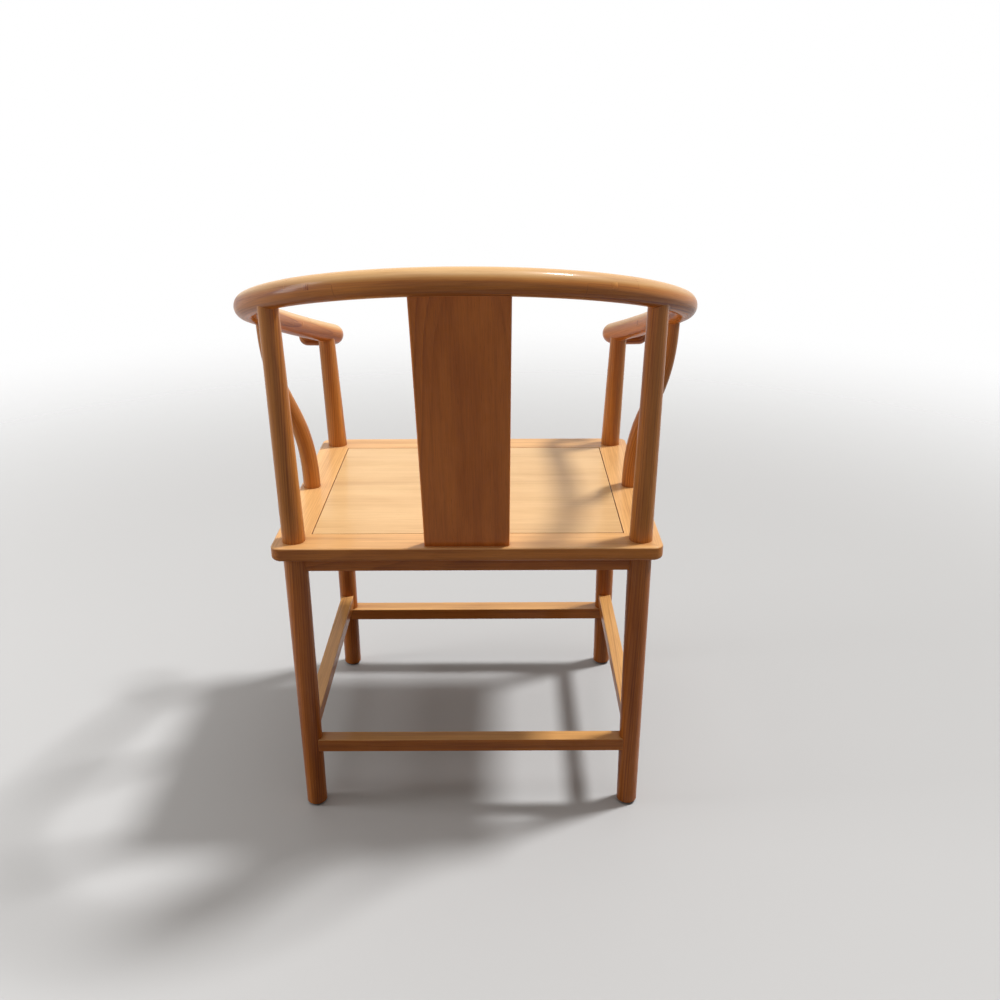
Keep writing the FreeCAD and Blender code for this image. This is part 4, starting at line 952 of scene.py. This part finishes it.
level = Vector((-1, 0, 0))
steep = Vector((0, -math.sin(LOOK_DOWN), math.cos(LOOK_DOWN)))
right = level * math.cos(LEAN) + steep * math.sin(LEAN)
up = steep * math.cos(LEAN) - level * math.sin(LEAN)
back = Vector((0, math.cos(LOOK_DOWN), math.sin(LOOK_DOWN)))
lens = bpy.data.cameras.new("camera")
lens.sensor_width = SENSOR
lens.lens = SENSOR * LENS_SHARE
camera = add_object("camera", lens)
turn = Matrix((right, up, back)).transposed().to_4x4()
camera.matrix_world = Matrix.Translation(CAMERA_PLACE) @ turn
bpy.context.scene.camera = camera
print("camera lens:", round(lens.lens, 2), "mm")

# %% [markdown]
# ## Floor and background
# The chair stands on a plain pale floor that fades into a white background, so the picture holds
# nothing but the chair and its shadow. The fade is a Transparent shader mixed in with distance.
# What the eye and the lacquer see of the floor is pale, while the light that it throws back onto
# the chair is kept low and warm, so that the back of the chair keeps its depth. Light Path tells
# the two apart.

# %% What is seen and what only lights
def seen_directly(tree):
    """One for rays that show the background itself, nought for rays that only carry light."""
    rays = put(tree, "ShaderNodeLightPath").outputs
    mirrored = calc(tree, "MAXIMUM", rays["Is Glossy Ray"], rays["Is Transmission Ray"])
    return calc(tree, "MAXIMUM", rays["Is Camera Ray"], mirrored)


def mixed_shader(tree, factor, first, second):
    """Go from the first shader node to the second."""
    return put(tree, "ShaderNodeMixShader", {0: factor, 1: first.outputs[0], 2: second.outputs[0]})


print("camera, glossy and transmission rays show the background")

# %% Floor
FLOOR_HALF = 9.0
FADE_FROM, FADE_TO = 1.1, 3.2
PALE_GREY = (0.47, 0.47, 0.47, 1.0)
WARM_RETURN = (0.13, 0.10, 0.072, 1.0)


def make_floor():
    mesh = bpy.data.meshes.new("floor")
    corners = [(x * FLOOR_HALF, y * FLOOR_HALF, 0) for x, y in ((-1, -1), (1, -1), (1, 1), (-1, 1))]
    mesh.from_pydata(corners, [], [(0, 1, 2, 3)])
    pale, tree = new_material("pale_floor")
    away = vector_calc(tree, "LENGTH", on_object(tree))
    ground = put(tree, "ShaderNodeBsdfPrincipled", {"Base Color": PALE_GREY, "Roughness": 0.6})
    thrown = put(tree, "ShaderNodeBsdfDiffuse", {"Color": WARM_RETURN})
    shown = mixed_shader(tree, seen_directly(tree), thrown, ground)
    clear = put(tree, "ShaderNodeBsdfTransparent")
    faded = mixed_shader(tree, ranged(tree, away, FADE_FROM, FADE_TO), shown, clear)
    put(tree, "ShaderNodeOutputMaterial", {"Surface": faded.outputs[0]})
    mesh.materials.append(pale)
    floor = add_object("floor", mesh)
    return floor


print("floor is", make_floor().dimensions.x, "m wide")

# %% White background
SOFT_GLOW, GLOW_STRENGTH = (1.0, 0.88, 0.75, 1.0), 0.20
WHITE = (1.0, 1.0, 1.0, 1.0)


def make_background():
    world = bpy.data.worlds.new("studio")
    bpy.context.scene.world = world
    world.use_nodes = True
    tree = world.node_tree
    tree.nodes.clear()
    soft = put(tree, "ShaderNodeBackground", {"Color": SOFT_GLOW, "Strength": GLOW_STRENGTH})
    white = put(tree, "ShaderNodeBackground", {"Color": WHITE, "Strength": 1.0})
    both = mixed_shader(tree, seen_directly(tree), soft, white)
    put(tree, "ShaderNodeOutputWorld", {"Surface": both.outputs[0]})
    return world


print("background:", make_background().name)

# %% [markdown]
# ## Light
# The chair is lit as in a bright room: a high window in front of the chair and to the sitter's
# right, an even glow from the ceiling, and a weak window at the sitter's left that brightens the
# other side of the round pieces. Distant lamps light near and far alike, so the floor has no hot
# spot. A wide angle makes their shadows soft. Together they light a level surface with about the
# brightness at which a colour comes out as it is written.

# %% Lamps
LIT_MIDDLE = Vector((0, 0, 0.6))
DISTANT_LAMPS = {
    "high window": {"toward": (-0.54, -0.21, 1.0), "strength": 2.95, "degrees": 9},
    "ceiling": {"toward": (0.0, 0.04, 1.0), "strength": 0.72, "degrees": 50},
}


def place_lamp(data, toward, distance=0.0):
    """Put a lamp in a direction from the chair, shining back at it."""
    lamp = add_object(data.name, data)
    lamp.location = LIT_MIDDLE + Vector(toward).normalized() * distance
    lamp.rotation_euler = Vector(toward).to_track_quat("Z", "Y").to_euler()
    print(data.name, "shines from", toward)


for name, lamp in DISTANT_LAMPS.items():
    distant = bpy.data.lights.new(name, "SUN")
    distant.energy = lamp["strength"]
    distant.angle = math.radians(lamp["degrees"])
    place_lamp(distant, lamp["toward"])
side_window = bpy.data.lights.new("side window", "AREA")
side_window.shape = "RECTANGLE"
side_window.size = 0.6
side_window.size_y = 1.6
side_window.energy = 18
place_lamp(side_window, toward=(2.4, 0.2, 0.7), distance=2.5)
bpy.context.scene.view_settings.view_transform = "Standard"
